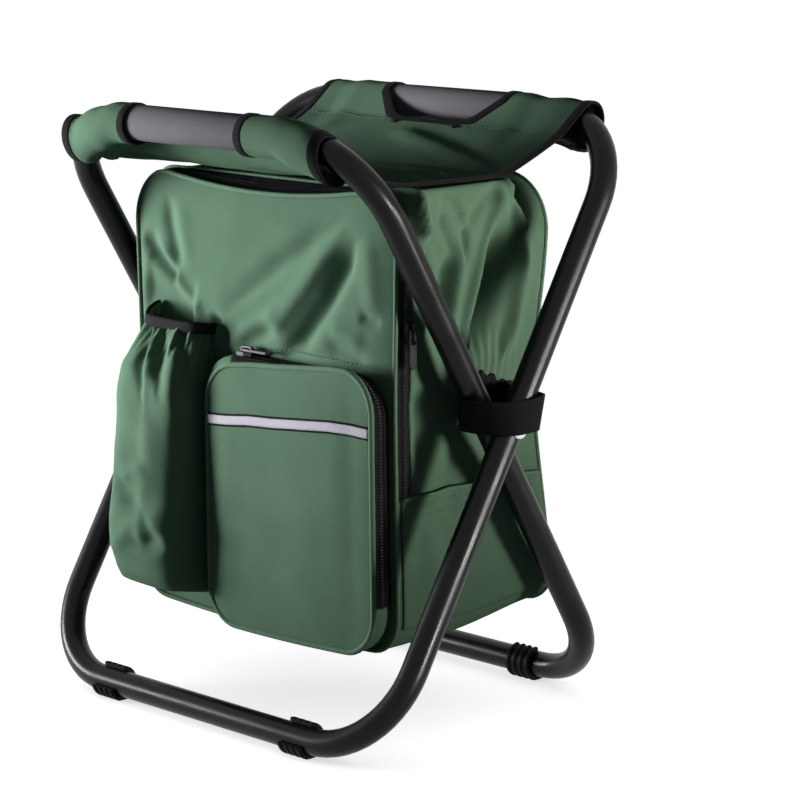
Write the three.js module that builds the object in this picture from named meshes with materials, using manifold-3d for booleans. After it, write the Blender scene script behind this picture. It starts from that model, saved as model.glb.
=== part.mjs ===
// Folding cooler stool, in millimetres, +Z up, the origin on the floor under the pivots.
// Two bent tube loops cross at the pivots. A sling seat joins their top rails and an
// insulated bag hangs below it. The front, with its two pockets, faces -Y.

import * as THREE from "three";
import { mergeVertices } from "three/addons/utils/BufferGeometryUtils.js";
import Module from "manifold-3d";

// Clearances
const GAP = 0.3; // between two pieces that touch
const PIVOT_PLAY = 0.4; // round the rivet in the tubes
const SLEEVE_PLAY = 0.4; // between a grip and the sleeve over it
const STRAP_PLAY = 0.4; // between a frame strap and the rivet under it
const OVERRUN = 40; // how far a cutting block passes what it cuts

// Frame
const TUBE_OD = 18;
const TUBE_WALL = 1;
const OUTER_HALF = 168; // half the outer loop's width, at the tube's centre line
const UPPER_LEG = 222; // pivot to top rail, along the leg
const LOWER_LEG = 232; // pivot to bottom rail, along the leg
const LEAN = THREE.MathUtils.degToRad(31); // each leg from the vertical, stool open
const BEND_RADIUS = 62;
const TUBE_JOINT = 0.6; // between the two ends of a loop's tube
const JOINER_LENGTH = 60;
const JOINER_WALL = 1.2;
const SPACER_LENGTH = 2.4;
const SPACER_RADIUS = 8;
const RIVET_RADIUS = 3;
const RIVET_HEAD_RADIUS = 6.5;
const RIVET_HEAD_HEIGHT = 2.2;
const RIVET_TAIL_RADIUS = 5;
const RIVET_TAIL_HEIGHT = 1.6;

// Grips and feet
const GRIP_OD = 24;
const GRIP_LENGTH = 150;
const FOOT_LENGTH = 21;
const FOOT_WALL = 2;
const FOOT_RIBS = 4;
const FOOT_RIB_HEIGHT = 1;
const FOOT_RIB_LENGTH = 3;
const FOOT_FLAT = 0.7; // depth of the flat on the ribs
const FOOT_MOUTH = THREE.MathUtils.degToRad(105); // opening of the clip
const FOOT_MOUTH_TURN = THREE.MathUtils.degToRad(40); // its middle, above level
const FOOT_SETBACK = 11; // foot's middle from the start of the bend

// Seat
const SEAT_HALF = 126;
const SEAT_THICKNESS = 1.4;
const SEAT_LOW = 365; // mid surface at the lowest point
const SEAT_FLAT = 18; // half of the level part, front to back
const SEAT_LEAVES = THREE.MathUtils.degToRad(45); // where the panel leaves its sleeve, from the top
const SEAT_TAPER = 22; // how far the panel's corners are cut back from the sleeves
const CUT_HALF = 56; // hand cut-out along the rail
const CUT_INNER_HALF = 34;
const CUT_DEPTH = 25; // cut-out's edge from the rail's axis
const BINDING_WIDTH = 2.4;
const BINDING_HEIGHT = 3.2;

// Bag
const FABRIC = 1.2;
const FOAM = 4;
const LINER = 0.8;
const BAG_ROOM = 10; // between the bag's side and the inner loop's tube
const BAG_BOTTOM = 62;
const BAG_FRONT = -62;
const BAG_BACK_TOP = 79;
const BAG_BACK_BOTTOM = 86;
const BAG_TOP_RADIUS = 38;
const BAG_BOTTOM_RADIUS = 24;
const ZIP_Y = -54; // where the flap's zip tape meets the bag's
const ZIP_TAPE = 8; // bag's tape, front to back
const HINGE_Z = 163; // zip ends, and the line that the flap bends on
const HINGE_GAP = 0.9; // between the flap and the panel below it

// Slip pocket on the right side
const SLIP_FRONT = -57;
const SLIP_BACK = 80;
const SLIP_LOW = 82;
const SLIP_HIGH = 161;

// Front zip pocket
const POCKET_INSET = 7; // from the bag's right side
const POCKET_SPACE = 8; // from the bottle pocket
const POCKET_LOW = 64;
const POCKET_HIGH = 244;
const POCKET_DEPTH = 19;
const POCKET_RADIUS = 26;
const POCKET_ZIP_END = 95; // height of the zip's lower end
const STRIP_LOW = 202.2;
const STRIP_HIGH = 210.8;
const STRIP_THICKNESS = 0.8;

// Bottle pocket
const BOTTLE_INSET = 4; // from the bag's left side
const BOTTLE_WIDTH = 77;
const BOTTLE_LOW = 82;
const BOTTLE_WALL = 1.5;
const ELASTIC_HEIGHT = 9;
const ELASTIC_EXTRA = 1; // how far the elastic edge stands out
// Height and depth of the pocket's bulge, from its floor to its mouth
const BOTTLE_SECTIONS = [
  [BOTTLE_LOW, 40],
  [92, 46],
  [125, 47],
  [205, 40],
  [254, 26],
];

// Zip sliders, all of one size
const SLIDER_LENGTH = 13;
const SLIDER_WIDTH = 8.4;
const SLIDER_HEIGHT = 4;
const SLIDER_NECK = 0.7; // end width over the full width
const BAIL_RISE = 3.8;
const BAIL_BAR = 1.2;
const BAIL_WIDTH = 2.4;
const PULL_LENGTH = 26;
const PULL_WIDTH = 6;
const PULL_THICKNESS = 1.4;
const PULL_AXIS = 1.5; // pull's bar from the slider's middle
const PULL_HOLE_LENGTH = 8.3;
const PULL_HOLE_WIDTH = 3.8;
const MAIN_SLIDER_Z = 274.5;
const POCKET_SLIDER_SHIFT = 34; // from the pocket's left edge

// Straps
const WEBBING = 1.6;
const FRAME_STRAP_LOW = -3; // from the pivot
const FRAME_STRAP_HIGH = 19;
const FRAME_STRAP_TAB = 9; // sewn end on the bag
const SHOULDER_X = 62;
const PAD_WIDTH = 52;
const PAD_THICKNESS = 9;
const PAD_LOW = 100; // along the back, from the bag's bottom
const PAD_HIGH = 284;
const PAD_BOW = 15;
const TAIL_WIDTH = 25;
const TAIL_LOW = 22;
const ADJUSTER_WIDTH = 33;
const ADJUSTER_LENGTH = 22;
const ADJUSTER_THICKNESS = 5;
const ADJUSTER_BAR = 3.6;

// Facets
const TUBE_FACETS = 8; // half the sides of a round section
const BEND_STEPS = 7;
const CORNER_FACETS = 3;
const SAG_STEPS = 7;
const BULGE_STEPS = 10;
const PAD_STEPS = 8;

// Materials
const FRAME_PAINT = { color: 0x17181a, metalness: 0.4, roughness: 0.4 };
const STEEL = { color: 0xb9bcc0, metalness: 1, roughness: 0.35 };
const NYLON = { color: 0x1c1c1e, metalness: 0, roughness: 0.6 };
const RUBBER = { color: 0x1d1e20, metalness: 0, roughness: 0.8 };
const GRIP_FOAM = { color: 0x4a4d52, metalness: 0, roughness: 0.95 };
const GREEN = { color: 0x597562, metalness: 0, roughness: 0.8 };
const BLACK_TAPE = { color: 0x18181a, metalness: 0, roughness: 0.85 };
const WHITE_FOAM = { color: 0xe9e9e4, metalness: 0, roughness: 0.9 };
const SILVER_LINER = { color: 0xc4c8cc, metalness: 0.5, roughness: 0.4 };
const REFLECTIVE = { color: 0xb4b8ba, metalness: 0.2, roughness: 0.5 };
const DARK_METAL = { color: 0x2a2b2e, metalness: 0.8, roughness: 0.45 };

// Sizes that follow from the ones above
const TUBE_RADIUS = TUBE_OD / 2;
const INNER_HALF = OUTER_HALF - TUBE_OD - SPACER_LENGTH - 2 * GAP;
const FOOT_BORE = TUBE_RADIUS + GAP;
const FOOT_RADIUS = FOOT_BORE + FOOT_WALL;
const RAIL_Z = FOOT_RADIUS + FOOT_RIB_HEIGHT - FOOT_FLAT;
const PIVOT_Z = RAIL_Z + LOWER_LEG * Math.cos(LEAN);
const TOP_RAIL_Y = UPPER_LEG * Math.sin(LEAN);
const TOP_RAIL_Z = PIVOT_Z + UPPER_LEG * Math.cos(LEAN);
const BOTTOM_RAIL_Y = LOWER_LEG * Math.sin(LEAN);
const SLEEVE_BORE = GRIP_OD / 2 + SLEEVE_PLAY;
const SLEEVE_RADIUS = SLEEVE_BORE + SEAT_THICKNESS;
const BAG_TOP = SEAT_LOW - SEAT_THICKNESS / 2 - GAP;
const BACK_TILT = Math.atan2(BAG_BACK_BOTTOM - BAG_BACK_TOP, BAG_TOP - BAG_BOTTOM);
const FOAM_OUT = FABRIC + GAP; // layers of the bag's wall, inwards from its outside
const FOAM_IN = FOAM_OUT + FOAM;
const LINER_OUT = FOAM_IN + GAP;
const LINER_IN = LINER_OUT + LINER;
const POCKET_FRONT = BAG_FRONT - GAP - POCKET_DEPTH;
const BAG_HALF = INNER_HALF - TUBE_RADIUS - BAG_ROOM;
const BOTTLE_LEFT = BOTTLE_INSET - BAG_HALF;
const BOTTLE_RIGHT = BOTTLE_LEFT + BOTTLE_WIDTH;
const POCKET_LEFT = BOTTLE_RIGHT + POCKET_SPACE;
const POCKET_RIGHT = BAG_HALF - POCKET_INSET;
const POCKET_SLIDER_X = POCKET_LEFT + POCKET_SLIDER_SHIFT;
const SIDE = BAG_HALF + GAP; // where a piece on the bag's side starts

const X = new THREE.Vector3(1, 0, 0);
const Y = new THREE.Vector3(0, 1, 0);
const Z = new THREE.Vector3(0, 0, 1);
const ALONG_X = new THREE.Matrix4().makeBasis(Y, Z, X);
const TO_FRONT = new THREE.Matrix4().makeBasis(X, Z, Y.clone().negate());

const wasm = await Module();
wasm.setup();

const stool = new THREE.Group();
stool.name = "folding_cooler_stool";

function add(name, geometry, material) {
  const mesh = new THREE.Mesh(geometry, new THREE.MeshStandardMaterial(material));
  mesh.name = name;
  stool.add(mesh);
}

function toSolid(geometry) {
  const bare = new THREE.BufferGeometry();
  bare.setAttribute("position", geometry.getAttribute("position"));
  bare.setIndex(geometry.getIndex());
  const merged = mergeVertices(bare, 1e-4);
  return new wasm.Manifold(
    new wasm.Mesh({
      numProp: 3,
      vertProperties: new Float32Array(merged.getAttribute("position").array),
      triVerts: new Uint32Array(merged.getIndex().array),
    }),
  );
}

function toGeometry(solid) {
  const mesh = solid.getMesh();
  const geometry = new THREE.BufferGeometry();
  geometry.setAttribute("position", new THREE.BufferAttribute(mesh.vertProperties, 3));
  geometry.setIndex(new THREE.BufferAttribute(mesh.triVerts, 1));
  return geometry;
}

function cut(geometry, ...tools) {
  return toGeometry(tools.reduce((solid, tool) => solid.subtract(toSolid(tool)), toSolid(geometry)));
}

function join(...geometries) {
  return toGeometry(geometries.map(toSolid).reduce((solid, other) => solid.add(other)));
}

function overlap(geometry, tool) {
  return toGeometry(toSolid(geometry).intersect(toSolid(tool)));
}

// A box between two corners.
function block(low, high) {
  const size = high.map((value, axis) => value - low[axis]);
  const middle = high.map((value, axis) => (value + low[axis]) / 2);
  return new THREE.BoxGeometry(...size).translate(...middle);
}

function polygon(points) {
  return new THREE.Shape(points.map(([x, y]) => new THREE.Vector2(x, y)));
}

function disc(radius) {
  return new THREE.Path().absarc(0, 0, radius, 0, 2 * Math.PI, false);
}

function ring(outer, inner) {
  const shape = new THREE.Shape(disc(outer).getPoints(TUBE_FACETS));
  shape.holes.push(new THREE.Path(disc(inner).getPoints(TUBE_FACETS)));
  return shape;
}

function extrude(shape, depth) {
  return new THREE.ExtrudeGeometry(shape, { depth, bevelEnabled: false, curveSegments: CORNER_FACETS });
}

// An outline in Y and Z, drawn out along X from the given start.
function acrossX(shape, start, length) {
  return extrude(shape, length).applyMatrix4(ALONG_X).translate(start, 0, 0);
}

// An outline in X and Z, drawn out from the given depth towards the front.
function towardsFront(shape, back, depth) {
  return extrude(shape, depth).applyMatrix4(TO_FRONT).translate(0, back, 0);
}

// A strip of even thickness along a line of points, as an outline.
function ribbon(points, thickness) {
  const sides = points.map((point, index) => {
    const before = points[Math.max(index - 1, 0)];
    const after = points[Math.min(index + 1, points.length - 1)];
    const first = point.clone().sub(before);
    const second = after.clone().sub(point);
    const start = (first.length() > 0 ? first : second).clone().normalize();
    const end = (second.length() > 0 ? second : first).clone().normalize();
    const along = start.clone().add(end).normalize();
    const reach = thickness / 2 / along.dot(start);
    return new THREE.Vector2(-along.y, along.x).multiplyScalar(reach);
  });
  const left = points.map((point, index) => point.clone().add(sides[index]));
  const right = points.map((point, index) => point.clone().sub(sides[index]));
  return new THREE.Shape([...right, ...left.reverse()]);
}

// A closed body through rings of points that lie one above another.
function loft(rings) {
  const count = rings[0].length;
  const index = [];
  for (let level = 0; level < rings.length - 1; level++) {
    for (let i = 0; i < count; i++) {
      const a = level * count + i;
      const b = level * count + ((i + 1) % count);
      index.push(a, b, b + count, a, b + count, a + count);
    }
  }
  const top = (rings.length - 1) * count;
  for (let i = 1; i < count - 1; i++) {
    index.push(0, i + 1, i, top, top + i, top + i + 1);
  }
  const geometry = new THREE.BufferGeometry();
  geometry.setAttribute("position", new THREE.Float32BufferAttribute(rings.flat(2), 3));
  geometry.setIndex(index);
  return geometry;
}

// A tube's centre line that is sampled at its own stations, so a straight run is one step.
class StationPath extends THREE.Curve {
  constructor(stations) {
    super();
    this.stations = stations;
  }

  at(fraction) {
    return this.stations[Math.round(fraction * (this.stations.length - 1))];
  }

  getPointAt(fraction) {
    return this.at(fraction).point.clone();
  }

  getTangentAt(fraction) {
    return this.at(fraction).tangent.clone();
  }
}

function station(x, z, dx, dz) {
  return { point: new THREE.Vector3(x, 0, z), tangent: new THREE.Vector3(dx, 0, dz) };
}

function sweep(shape, stations) {
  return new THREE.ExtrudeGeometry(shape, {
    steps: stations.length - 1,
    extrudePath: new StationPath(stations),
    bevelEnabled: false,
  });
}

// A whole loop in its own plane, from the joint in the top rail round to the joint again.
function loopStations(half) {
  const stations = [station(TUBE_JOINT / 2, UPPER_LEG, 1, 0)];
  const corners = [
    [1, UPPER_LEG - BEND_RADIUS],
    [1, BEND_RADIUS - LOWER_LEG],
    [-1, BEND_RADIUS - LOWER_LEG],
    [-1, UPPER_LEG - BEND_RADIUS],
  ];
  corners.forEach(([side, height], corner) => {
    for (let step = 0; step <= BEND_STEPS; step++) {
      const angle = ((1 - corner - step / BEND_STEPS) * Math.PI) / 2;
      const x = side * (half - BEND_RADIUS) + BEND_RADIUS * Math.cos(angle);
      const z = height + BEND_RADIUS * Math.sin(angle);
      stations.push(station(x, z, Math.sin(angle), -Math.cos(angle)));
    }
  });
  stations.push(station(-TUBE_JOINT / 2, UPPER_LEG, 1, 0));
  return stations;
}

// Part of a top rail on one side, from the hand cut-out to the seat's edge.
function sleeveStations(half, side) {
  const straight = half - BEND_RADIUS;
  const turn = Math.asin(Math.max(0, SEAT_HALF - straight) / BEND_RADIUS);
  const stations = [station(side * CUT_HALF, UPPER_LEG, 1, 0)];
  for (let step = 0; step <= BEND_STEPS; step++) {
    const angle = (turn * step) / BEND_STEPS;
    const x = side * (straight + BEND_RADIUS * Math.sin(angle));
    const z = UPPER_LEG - BEND_RADIUS * (1 - Math.cos(angle));
    stations.push(station(x, z, Math.cos(angle), -side * Math.sin(angle)));
  }
  return side > 0 ? stations : stations.reverse();
}

// Each loop: which way it leans, its half width, and the names of its pieces.
const LOOPS = [
  { name: "outer", half: OUTER_HALF, lean: -LEAN, grip: "rear_grip", foot: "front_foot" },
  { name: "inner", half: INNER_HALF, lean: LEAN, grip: "front_grip", foot: "rear_foot" },
];
const SIDES = [
  { name: "left", sign: -1 },
  { name: "right", sign: 1 },
];

function placeInFrame(geometry, lean) {
  return geometry.rotateX(lean).translate(0, 0, PIVOT_Z);
}

function alongRail(outer, inner, length) {
  return acrossX(ring(outer, inner), -length / 2, length).translate(0, 0, UPPER_LEG);
}

function addFrames() {
  const bore = new THREE.CylinderGeometry(
    RIVET_RADIUS + PIVOT_PLAY,
    RIVET_RADIUS + PIVOT_PLAY,
    2 * (OUTER_HALF + OVERRUN),
    2 * TUBE_FACETS,
  ).rotateZ(Math.PI / 2);
  const section = ring(TUBE_RADIUS, TUBE_RADIUS - TUBE_WALL);
  const spigot = TUBE_RADIUS - TUBE_WALL - GAP;
  for (const { name, half, lean, grip } of LOOPS) {
    const tube = cut(sweep(section, loopStations(half)), bore);
    const joiner = alongRail(spigot, spigot - JOINER_WALL, JOINER_LENGTH);
    const foam = alongRail(GRIP_OD / 2, TUBE_RADIUS + GAP, GRIP_LENGTH);
    add(`${name}_frame_tube`, placeInFrame(tube, lean), FRAME_PAINT);
    add(`${name}_tube_joiner`, placeInFrame(joiner, lean), STEEL);
    add(grip, placeInFrame(foam, lean), GRIP_FOAM);
  }
}

function addPivots() {
  const tail = INNER_HALF - TUBE_RADIUS - GAP;
  const head = OUTER_HALF + TUBE_RADIUS + GAP;
  const profile = [
    [0, tail - RIVET_TAIL_HEIGHT],
    [RIVET_TAIL_RADIUS, tail - RIVET_TAIL_HEIGHT],
    [RIVET_TAIL_RADIUS, tail],
    [RIVET_RADIUS, tail],
    [RIVET_RADIUS, head],
    [RIVET_HEAD_RADIUS, head],
    [RIVET_HEAD_RADIUS * 0.9, head + RIVET_HEAD_HEIGHT * 0.5],
    [RIVET_HEAD_RADIUS * 0.6, head + RIVET_HEAD_HEIGHT * 0.87],
    [0, head + RIVET_HEAD_HEIGHT],
  ].map(([radius, along]) => new THREE.Vector2(radius, along));
  const washer = ring(SPACER_RADIUS, RIVET_RADIUS + PIVOT_PLAY);
  const between = INNER_HALF + TUBE_RADIUS + GAP;
  for (const { name, sign } of SIDES) {
    const rivet = new THREE.LatheGeometry(profile, 2 * TUBE_FACETS).rotateZ((-sign * Math.PI) / 2);
    const start = sign > 0 ? between : -between - SPACER_LENGTH;
    const spacer = acrossX(washer, start, SPACER_LENGTH);
    add(`pivot_rivet_${name}`, rivet.translate(0, 0, PIVOT_Z), STEEL);
    add(`pivot_spacer_${name}`, spacer.translate(0, 0, PIVOT_Z), NYLON);
  }
}

// A clip's section, open upwards and towards the given side of Y, flat where it meets the floor.
function clipSection(radius, towards) {
  const facing = towards > 0 ? FOOT_MOUTH_TURN : Math.PI - FOOT_MOUTH_TURN;
  const from = facing + FOOT_MOUTH / 2;
  const to = facing + 2 * Math.PI - FOOT_MOUTH / 2;
  const down = 1.5 * Math.PI;
  const flat = Math.acos(Math.min(RAIL_Z / radius, 1));
  const shape = new THREE.Shape();
  shape.absarc(0, 0, radius, from, down - flat, false);
  shape.absarc(0, 0, radius, down + flat, to, false);
  shape.absarc(0, 0, FOOT_BORE, to, from, true);
  return new THREE.Shape(shape.getPoints(TUBE_FACETS));
}

function addFeet() {
  const pitch = (FOOT_LENGTH - FOOT_RIB_LENGTH) / (FOOT_RIBS - 1);
  for (const { half, lean, foot } of LOOPS) {
    const towards = Math.sign(lean);
    const middle = half - BEND_RADIUS - FOOT_SETBACK;
    for (const { name, sign } of SIDES) {
      const start = sign * middle - FOOT_LENGTH / 2;
      const ribs = [];
      for (let rib = 0; rib < FOOT_RIBS; rib++) {
        const section = clipSection(FOOT_RADIUS + FOOT_RIB_HEIGHT, towards);
        ribs.push(acrossX(section, start + rib * pitch, FOOT_RIB_LENGTH));
      }
      const clip = join(acrossX(clipSection(FOOT_RADIUS, towards), start, FOOT_LENGTH), ...ribs);
      add(`${foot}_${name}`, clip.translate(0, towards * BOTTOM_RAIL_Y, RAIL_Z), RUBBER);
    }
  }
}

// Mid line of the seat from the front sleeve to the rear one, in Y and Z.
function sagLine() {
  const reach = (SLEEVE_BORE + SLEEVE_RADIUS) / 2;
  const leaveY = TOP_RAIL_Y - reach * Math.sin(SEAT_LEAVES);
  const leaveZ = TOP_RAIL_Z + reach * Math.cos(SEAT_LEAVES);
  const drop = leaveZ - SEAT_LOW;
  const curve = new THREE.CubicBezierCurve(
    new THREE.Vector2(-leaveY, leaveZ),
    new THREE.Vector2(-leaveY + drop * 0.4, leaveZ - drop * 0.42),
    new THREE.Vector2(-SEAT_FLAT - drop * 0.95, SEAT_LOW),
    new THREE.Vector2(-SEAT_FLAT, SEAT_LOW),
  );
  const front = curve.getPoints(SAG_STEPS);
  const rear = front.map((point) => new THREE.Vector2(-point.x, point.y)).reverse();
  return [...front, ...rear];
}

function addSeat() {
  const line = sagLine();
  const leaveY = line[line.length - 1].x;
  const edgeY = leaveY - SEAT_TAPER;
  const wide = LOOPS[1].half - BEND_RADIUS;
  const low = SEAT_LOW - OVERRUN;
  const height = TOP_RAIL_Z + OVERRUN - low;
  const far = TOP_RAIL_Y + OVERRUN;
  const sleeveSection = ring(SLEEVE_RADIUS, SLEEVE_BORE);
  const trims = [];
  const sleeves = [];
  for (const { half, lean } of LOOPS) {
    const toRail = -Math.sign(lean);
    const cutEdge = TOP_RAIL_Y - CUT_DEPTH;
    const handHole = polygon([
      [-CUT_HALF, toRail * far],
      [-CUT_HALF, toRail * leaveY],
      [-CUT_INNER_HALF, toRail * cutEdge],
      [CUT_INNER_HALF, toRail * cutEdge],
      [CUT_HALF, toRail * leaveY],
      [CUT_HALF, toRail * far],
    ]);
    trims.push(extrude(handHole, height).translate(0, 0, low));
    for (const { sign } of SIDES) {
      const corner = polygon([
        [sign * wide, toRail * far],
        [sign * wide, toRail * leaveY],
        [sign * SEAT_HALF, toRail * edgeY],
        [sign * (SEAT_HALF + OVERRUN), toRail * edgeY],
        [sign * (SEAT_HALF + OVERRUN), toRail * far],
      ]);
      trims.push(extrude(corner, height).translate(0, 0, low));
      sleeves.push(placeInFrame(sweep(sleeveSection, sleeveStations(half, sign)), lean));
    }
  }
  const panel = acrossX(ribbon(line, SEAT_THICKNESS), -SEAT_HALF, 2 * SEAT_HALF);
  add("seat_sling", join(cut(panel, ...trims), ...sleeves), GREEN);
  const edge = line.filter((point) => Math.abs(point.x) <= edgeY);
  for (const { name, sign } of SIDES) {
    const start = sign > 0 ? SEAT_HALF + GAP : -SEAT_HALF - GAP - BINDING_WIDTH;
    add(`seat_binding_${name}`, acrossX(ribbon(edge, BINDING_HEIGHT), start, BINDING_WIDTH), BLACK_TAPE);
  }
}

function roundedRect(path, left, right, low, high, lowRadius, highRadius) {
  const quarter = Math.PI / 2;
  path.absarc(right - lowRadius, low + lowRadius, lowRadius, -quarter, 0, false);
  path.absarc(right - highRadius, high - highRadius, highRadius, 0, quarter, false);
  path.absarc(left + highRadius, high - highRadius, highRadius, quarter, 2 * quarter, false);
  path.absarc(left + lowRadius, low + lowRadius, lowRadius, 2 * quarter, 3 * quarter, false);
  path.closePath();
  return path;
}

// The bag seen from the front, drawn in by the given inset.
function bagOutline(inset, path = new THREE.Shape()) {
  const half = BAG_HALF - inset;
  return roundedRect(
    path,
    -half,
    half,
    BAG_BOTTOM + inset,
    BAG_TOP - inset,
    BAG_BOTTOM_RADIUS - inset,
    BAG_TOP_RADIUS - inset,
  );
}

function bagRing(outer, inner) {
  const shape = bagOutline(outer);
  shape.holes.push(bagOutline(inner, new THREE.Path()));
  return shape;
}

// From the given front to well behind the bag.
function throughBag(shape, front) {
  const back = BAG_BACK_BOTTOM + OVERRUN;
  return towardsFront(shape, back, back - front);
}

// A block with one face on the leaning back, moved in by the inset. It fills the space
// behind that face, or in front of it.
function backBlock(inset, behind) {
  const size = 4 * BAG_HALF;
  return new THREE.BoxGeometry(size, size, 2 * size)
    .translate(0, (behind ? size : -size) / 2 - inset, 0)
    .rotateX(BACK_TILT)
    .translate(0, BAG_BACK_TOP, BAG_TOP);
}

function above(height, front = -2 * BAG_HALF, back = 2 * BAG_HALF) {
  return block([-2 * BAG_HALF, front, height], [2 * BAG_HALF, back, BAG_TOP + OVERRUN]);
}

function below(height) {
  return block([-2 * BAG_HALF, -2 * BAG_HALF, -OVERRUN], [2 * BAG_HALF, 2 * BAG_HALF, height]);
}

function addBag() {
  const panelBack = BAG_FRONT + FABRIC;
  const ringFront = panelBack + GAP;
  const tapeFront = ZIP_Y + GAP / 2;
  const tapeBack = tapeFront + ZIP_TAPE;
  const foamBack = ringFront + FOAM;
  const linerFront = foamBack + GAP;
  const sleeveFront = ZIP_Y + 2 * GAP;
  const flapLow = HINGE_Z + HINGE_GAP / 2;
  const lowerTop = HINGE_Z - HINGE_GAP / 2;

  const gusset = cut(
    throughBag(bagRing(0, FABRIC), ringFront),
    backBlock(FABRIC + GAP, true),
    above(HINGE_Z, -2 * BAG_HALF, tapeBack + GAP),
  );
  add("bag_gusset", gusset, GREEN);
  const backPanel = cut(throughBag(bagOutline(0), 0), backBlock(0, true), backBlock(FABRIC, false));
  add("bag_back_panel", backPanel, GREEN);
  const bagTape = towardsFront(bagRing(0, FABRIC), tapeBack, ZIP_TAPE);
  add("zip_tape_bag", cut(bagTape, below(flapLow)), BLACK_TAPE);
  const lowerPanel = towardsFront(bagOutline(0), panelBack, FABRIC);
  add("front_panel_lower", cut(lowerPanel, above(lowerTop)), GREEN);

  const sleeve = cut(throughBag(bagRing(FOAM_OUT, FOAM_IN), sleeveFront), backBlock(LINER_OUT, true));
  add("insulation_sleeve", sleeve, WHITE_FOAM);
  const backFoam = cut(
    throughBag(bagOutline(FOAM_OUT), 0),
    backBlock(FOAM_OUT, true),
    backBlock(FOAM_IN, false),
  );
  add("insulation_back", backFoam, WHITE_FOAM);
  const frontFoam = towardsFront(bagOutline(FOAM_OUT), foamBack, FOAM);
  add("insulation_front_lower", cut(frontFoam, above(lowerTop)), WHITE_FOAM);
  const liner = cut(
    throughBag(bagOutline(LINER_OUT), sleeveFront),
    backBlock(LINER_OUT, true),
    cut(throughBag(bagOutline(LINER_IN), sleeveFront - OVERRUN), backBlock(LINER_IN, true)),
  );
  add("cooler_liner", liner, SILVER_LINER);
  const frontLiner = towardsFront(bagOutline(FOAM_OUT), linerFront + LINER, LINER);
  add("liner_front_lower", cut(frontLiner, above(lowerTop)), SILVER_LINER);

  const flapPanel = towardsFront(bagOutline(0), panelBack, FABRIC);
  add("front_flap_panel", cut(flapPanel, below(flapLow)), GREEN);
  const flapTapeBack = ZIP_Y - GAP / 2;
  const flapTape = towardsFront(bagRing(0, FABRIC), flapTapeBack, flapTapeBack - ringFront);
  add("zip_tape_flap", cut(flapTape, below(flapLow)), BLACK_TAPE);
  add("insulation_flap", cut(frontFoam, below(flapLow)), WHITE_FOAM);
  add("liner_flap", cut(frontLiner, below(flapLow)), SILVER_LINER);

  const slip = block([SIDE, SLIP_FRONT, SLIP_LOW], [SIDE + FABRIC, SLIP_BACK, SLIP_HIGH]);
  add("side_slip_pocket", slip, GREEN);
}

function pocketOutline(inset, path = new THREE.Shape()) {
  const radius = POCKET_RADIUS - inset;
  return roundedRect(
    path,
    POCKET_LEFT + inset,
    POCKET_RIGHT - inset,
    POCKET_LOW + inset,
    POCKET_HIGH - inset,
    radius,
    radius,
  );
}

// The part of the pocket's rim that the zip takes: its top and the upper right side.
function zipRegion(extra) {
  const left = POCKET_LEFT + POCKET_RADIUS - extra;
  const low = POCKET_ZIP_END - extra;
  const inner = 2 * POCKET_RADIUS;
  const region = polygon([
    [left, POCKET_HIGH + OVERRUN],
    [left, POCKET_HIGH - inner],
    [POCKET_RIGHT - inner, POCKET_HIGH - inner],
    [POCKET_RIGHT - inner, low],
    [POCKET_RIGHT + OVERRUN, low],
    [POCKET_RIGHT + OVERRUN, POCKET_HIGH + OVERRUN],
  ]);
  return towardsFront(region, 0, -2 * POCKET_FRONT);
}

function addZipPocket() {
  const rim = pocketOutline(0);
  rim.holes.push(pocketOutline(FABRIC, new THREE.Path()));
  const band = towardsFront(rim, BAG_FRONT - GAP, POCKET_DEPTH - FABRIC - GAP);
  add("pocket_gusset", cut(band, zipRegion(GAP)), GREEN);
  add("pocket_zip_tape", overlap(band, zipRegion(0)), BLACK_TAPE);
  add("pocket_front", towardsFront(pocketOutline(0), POCKET_FRONT + FABRIC, FABRIC), GREEN);
  const strip = block(
    [POCKET_LEFT + FABRIC, POCKET_FRONT - GAP - STRIP_THICKNESS, STRIP_LOW],
    [POCKET_RIGHT - FABRIC, POCKET_FRONT - GAP, STRIP_HIGH],
  );
  add("reflective_strip", strip, REFLECTIVE);
}

// One level of the bottle pocket: straight along the bag, bulging to the front.
function bottleRing(height, depth, inset, back) {
  const middle = (BOTTLE_LEFT + BOTTLE_RIGHT) / 2;
  const half = (BOTTLE_RIGHT - BOTTLE_LEFT) / 2 - inset;
  const points = [[middle - half, back, height]];
  for (let step = 0; step <= BULGE_STEPS; step++) {
    const angle = (Math.PI * step) / BULGE_STEPS;
    const out = (depth - inset) * Math.sqrt(Math.sin(angle));
    points.push([middle - half * Math.cos(angle), BAG_FRONT - GAP - Math.max(out, GAP), height]);
  }
  points.push([middle + half, back, height]);
  return points;
}

function addBottlePocket() {
  const back = BAG_FRONT - GAP;
  const [mouthZ, mouthDepth] = BOTTLE_SECTIONS[BOTTLE_SECTIONS.length - 1];
  const outside = loft(BOTTLE_SECTIONS.map(([height, depth]) => bottleRing(height, depth, 0, back)));
  const inside = loft(
    BOTTLE_SECTIONS.map(([height, depth], level) => {
      const lift = level === 0 ? BOTTLE_WALL : 0;
      const rise = level === BOTTLE_SECTIONS.length - 1 ? BOTTLE_WALL : 0;
      return bottleRing(height + lift + rise, depth, BOTTLE_WALL, back + BOTTLE_WALL);
    }),
  );
  add("bottle_pocket", cut(outside, inside), GREEN);
  const low = mouthZ + GAP;
  const high = low + ELASTIC_HEIGHT;
  const elastic = cut(
    loft([low, high].map((height) => bottleRing(height, mouthDepth, -ELASTIC_EXTRA, back))),
    loft(
      [low - BOTTLE_WALL, high + BOTTLE_WALL].map((height) =>
        bottleRing(height, mouthDepth, BOTTLE_WALL, back + BOTTLE_WALL),
      ),
    ),
  );
  add("bottle_pocket_elastic", elastic, BLACK_TAPE);
}

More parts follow.
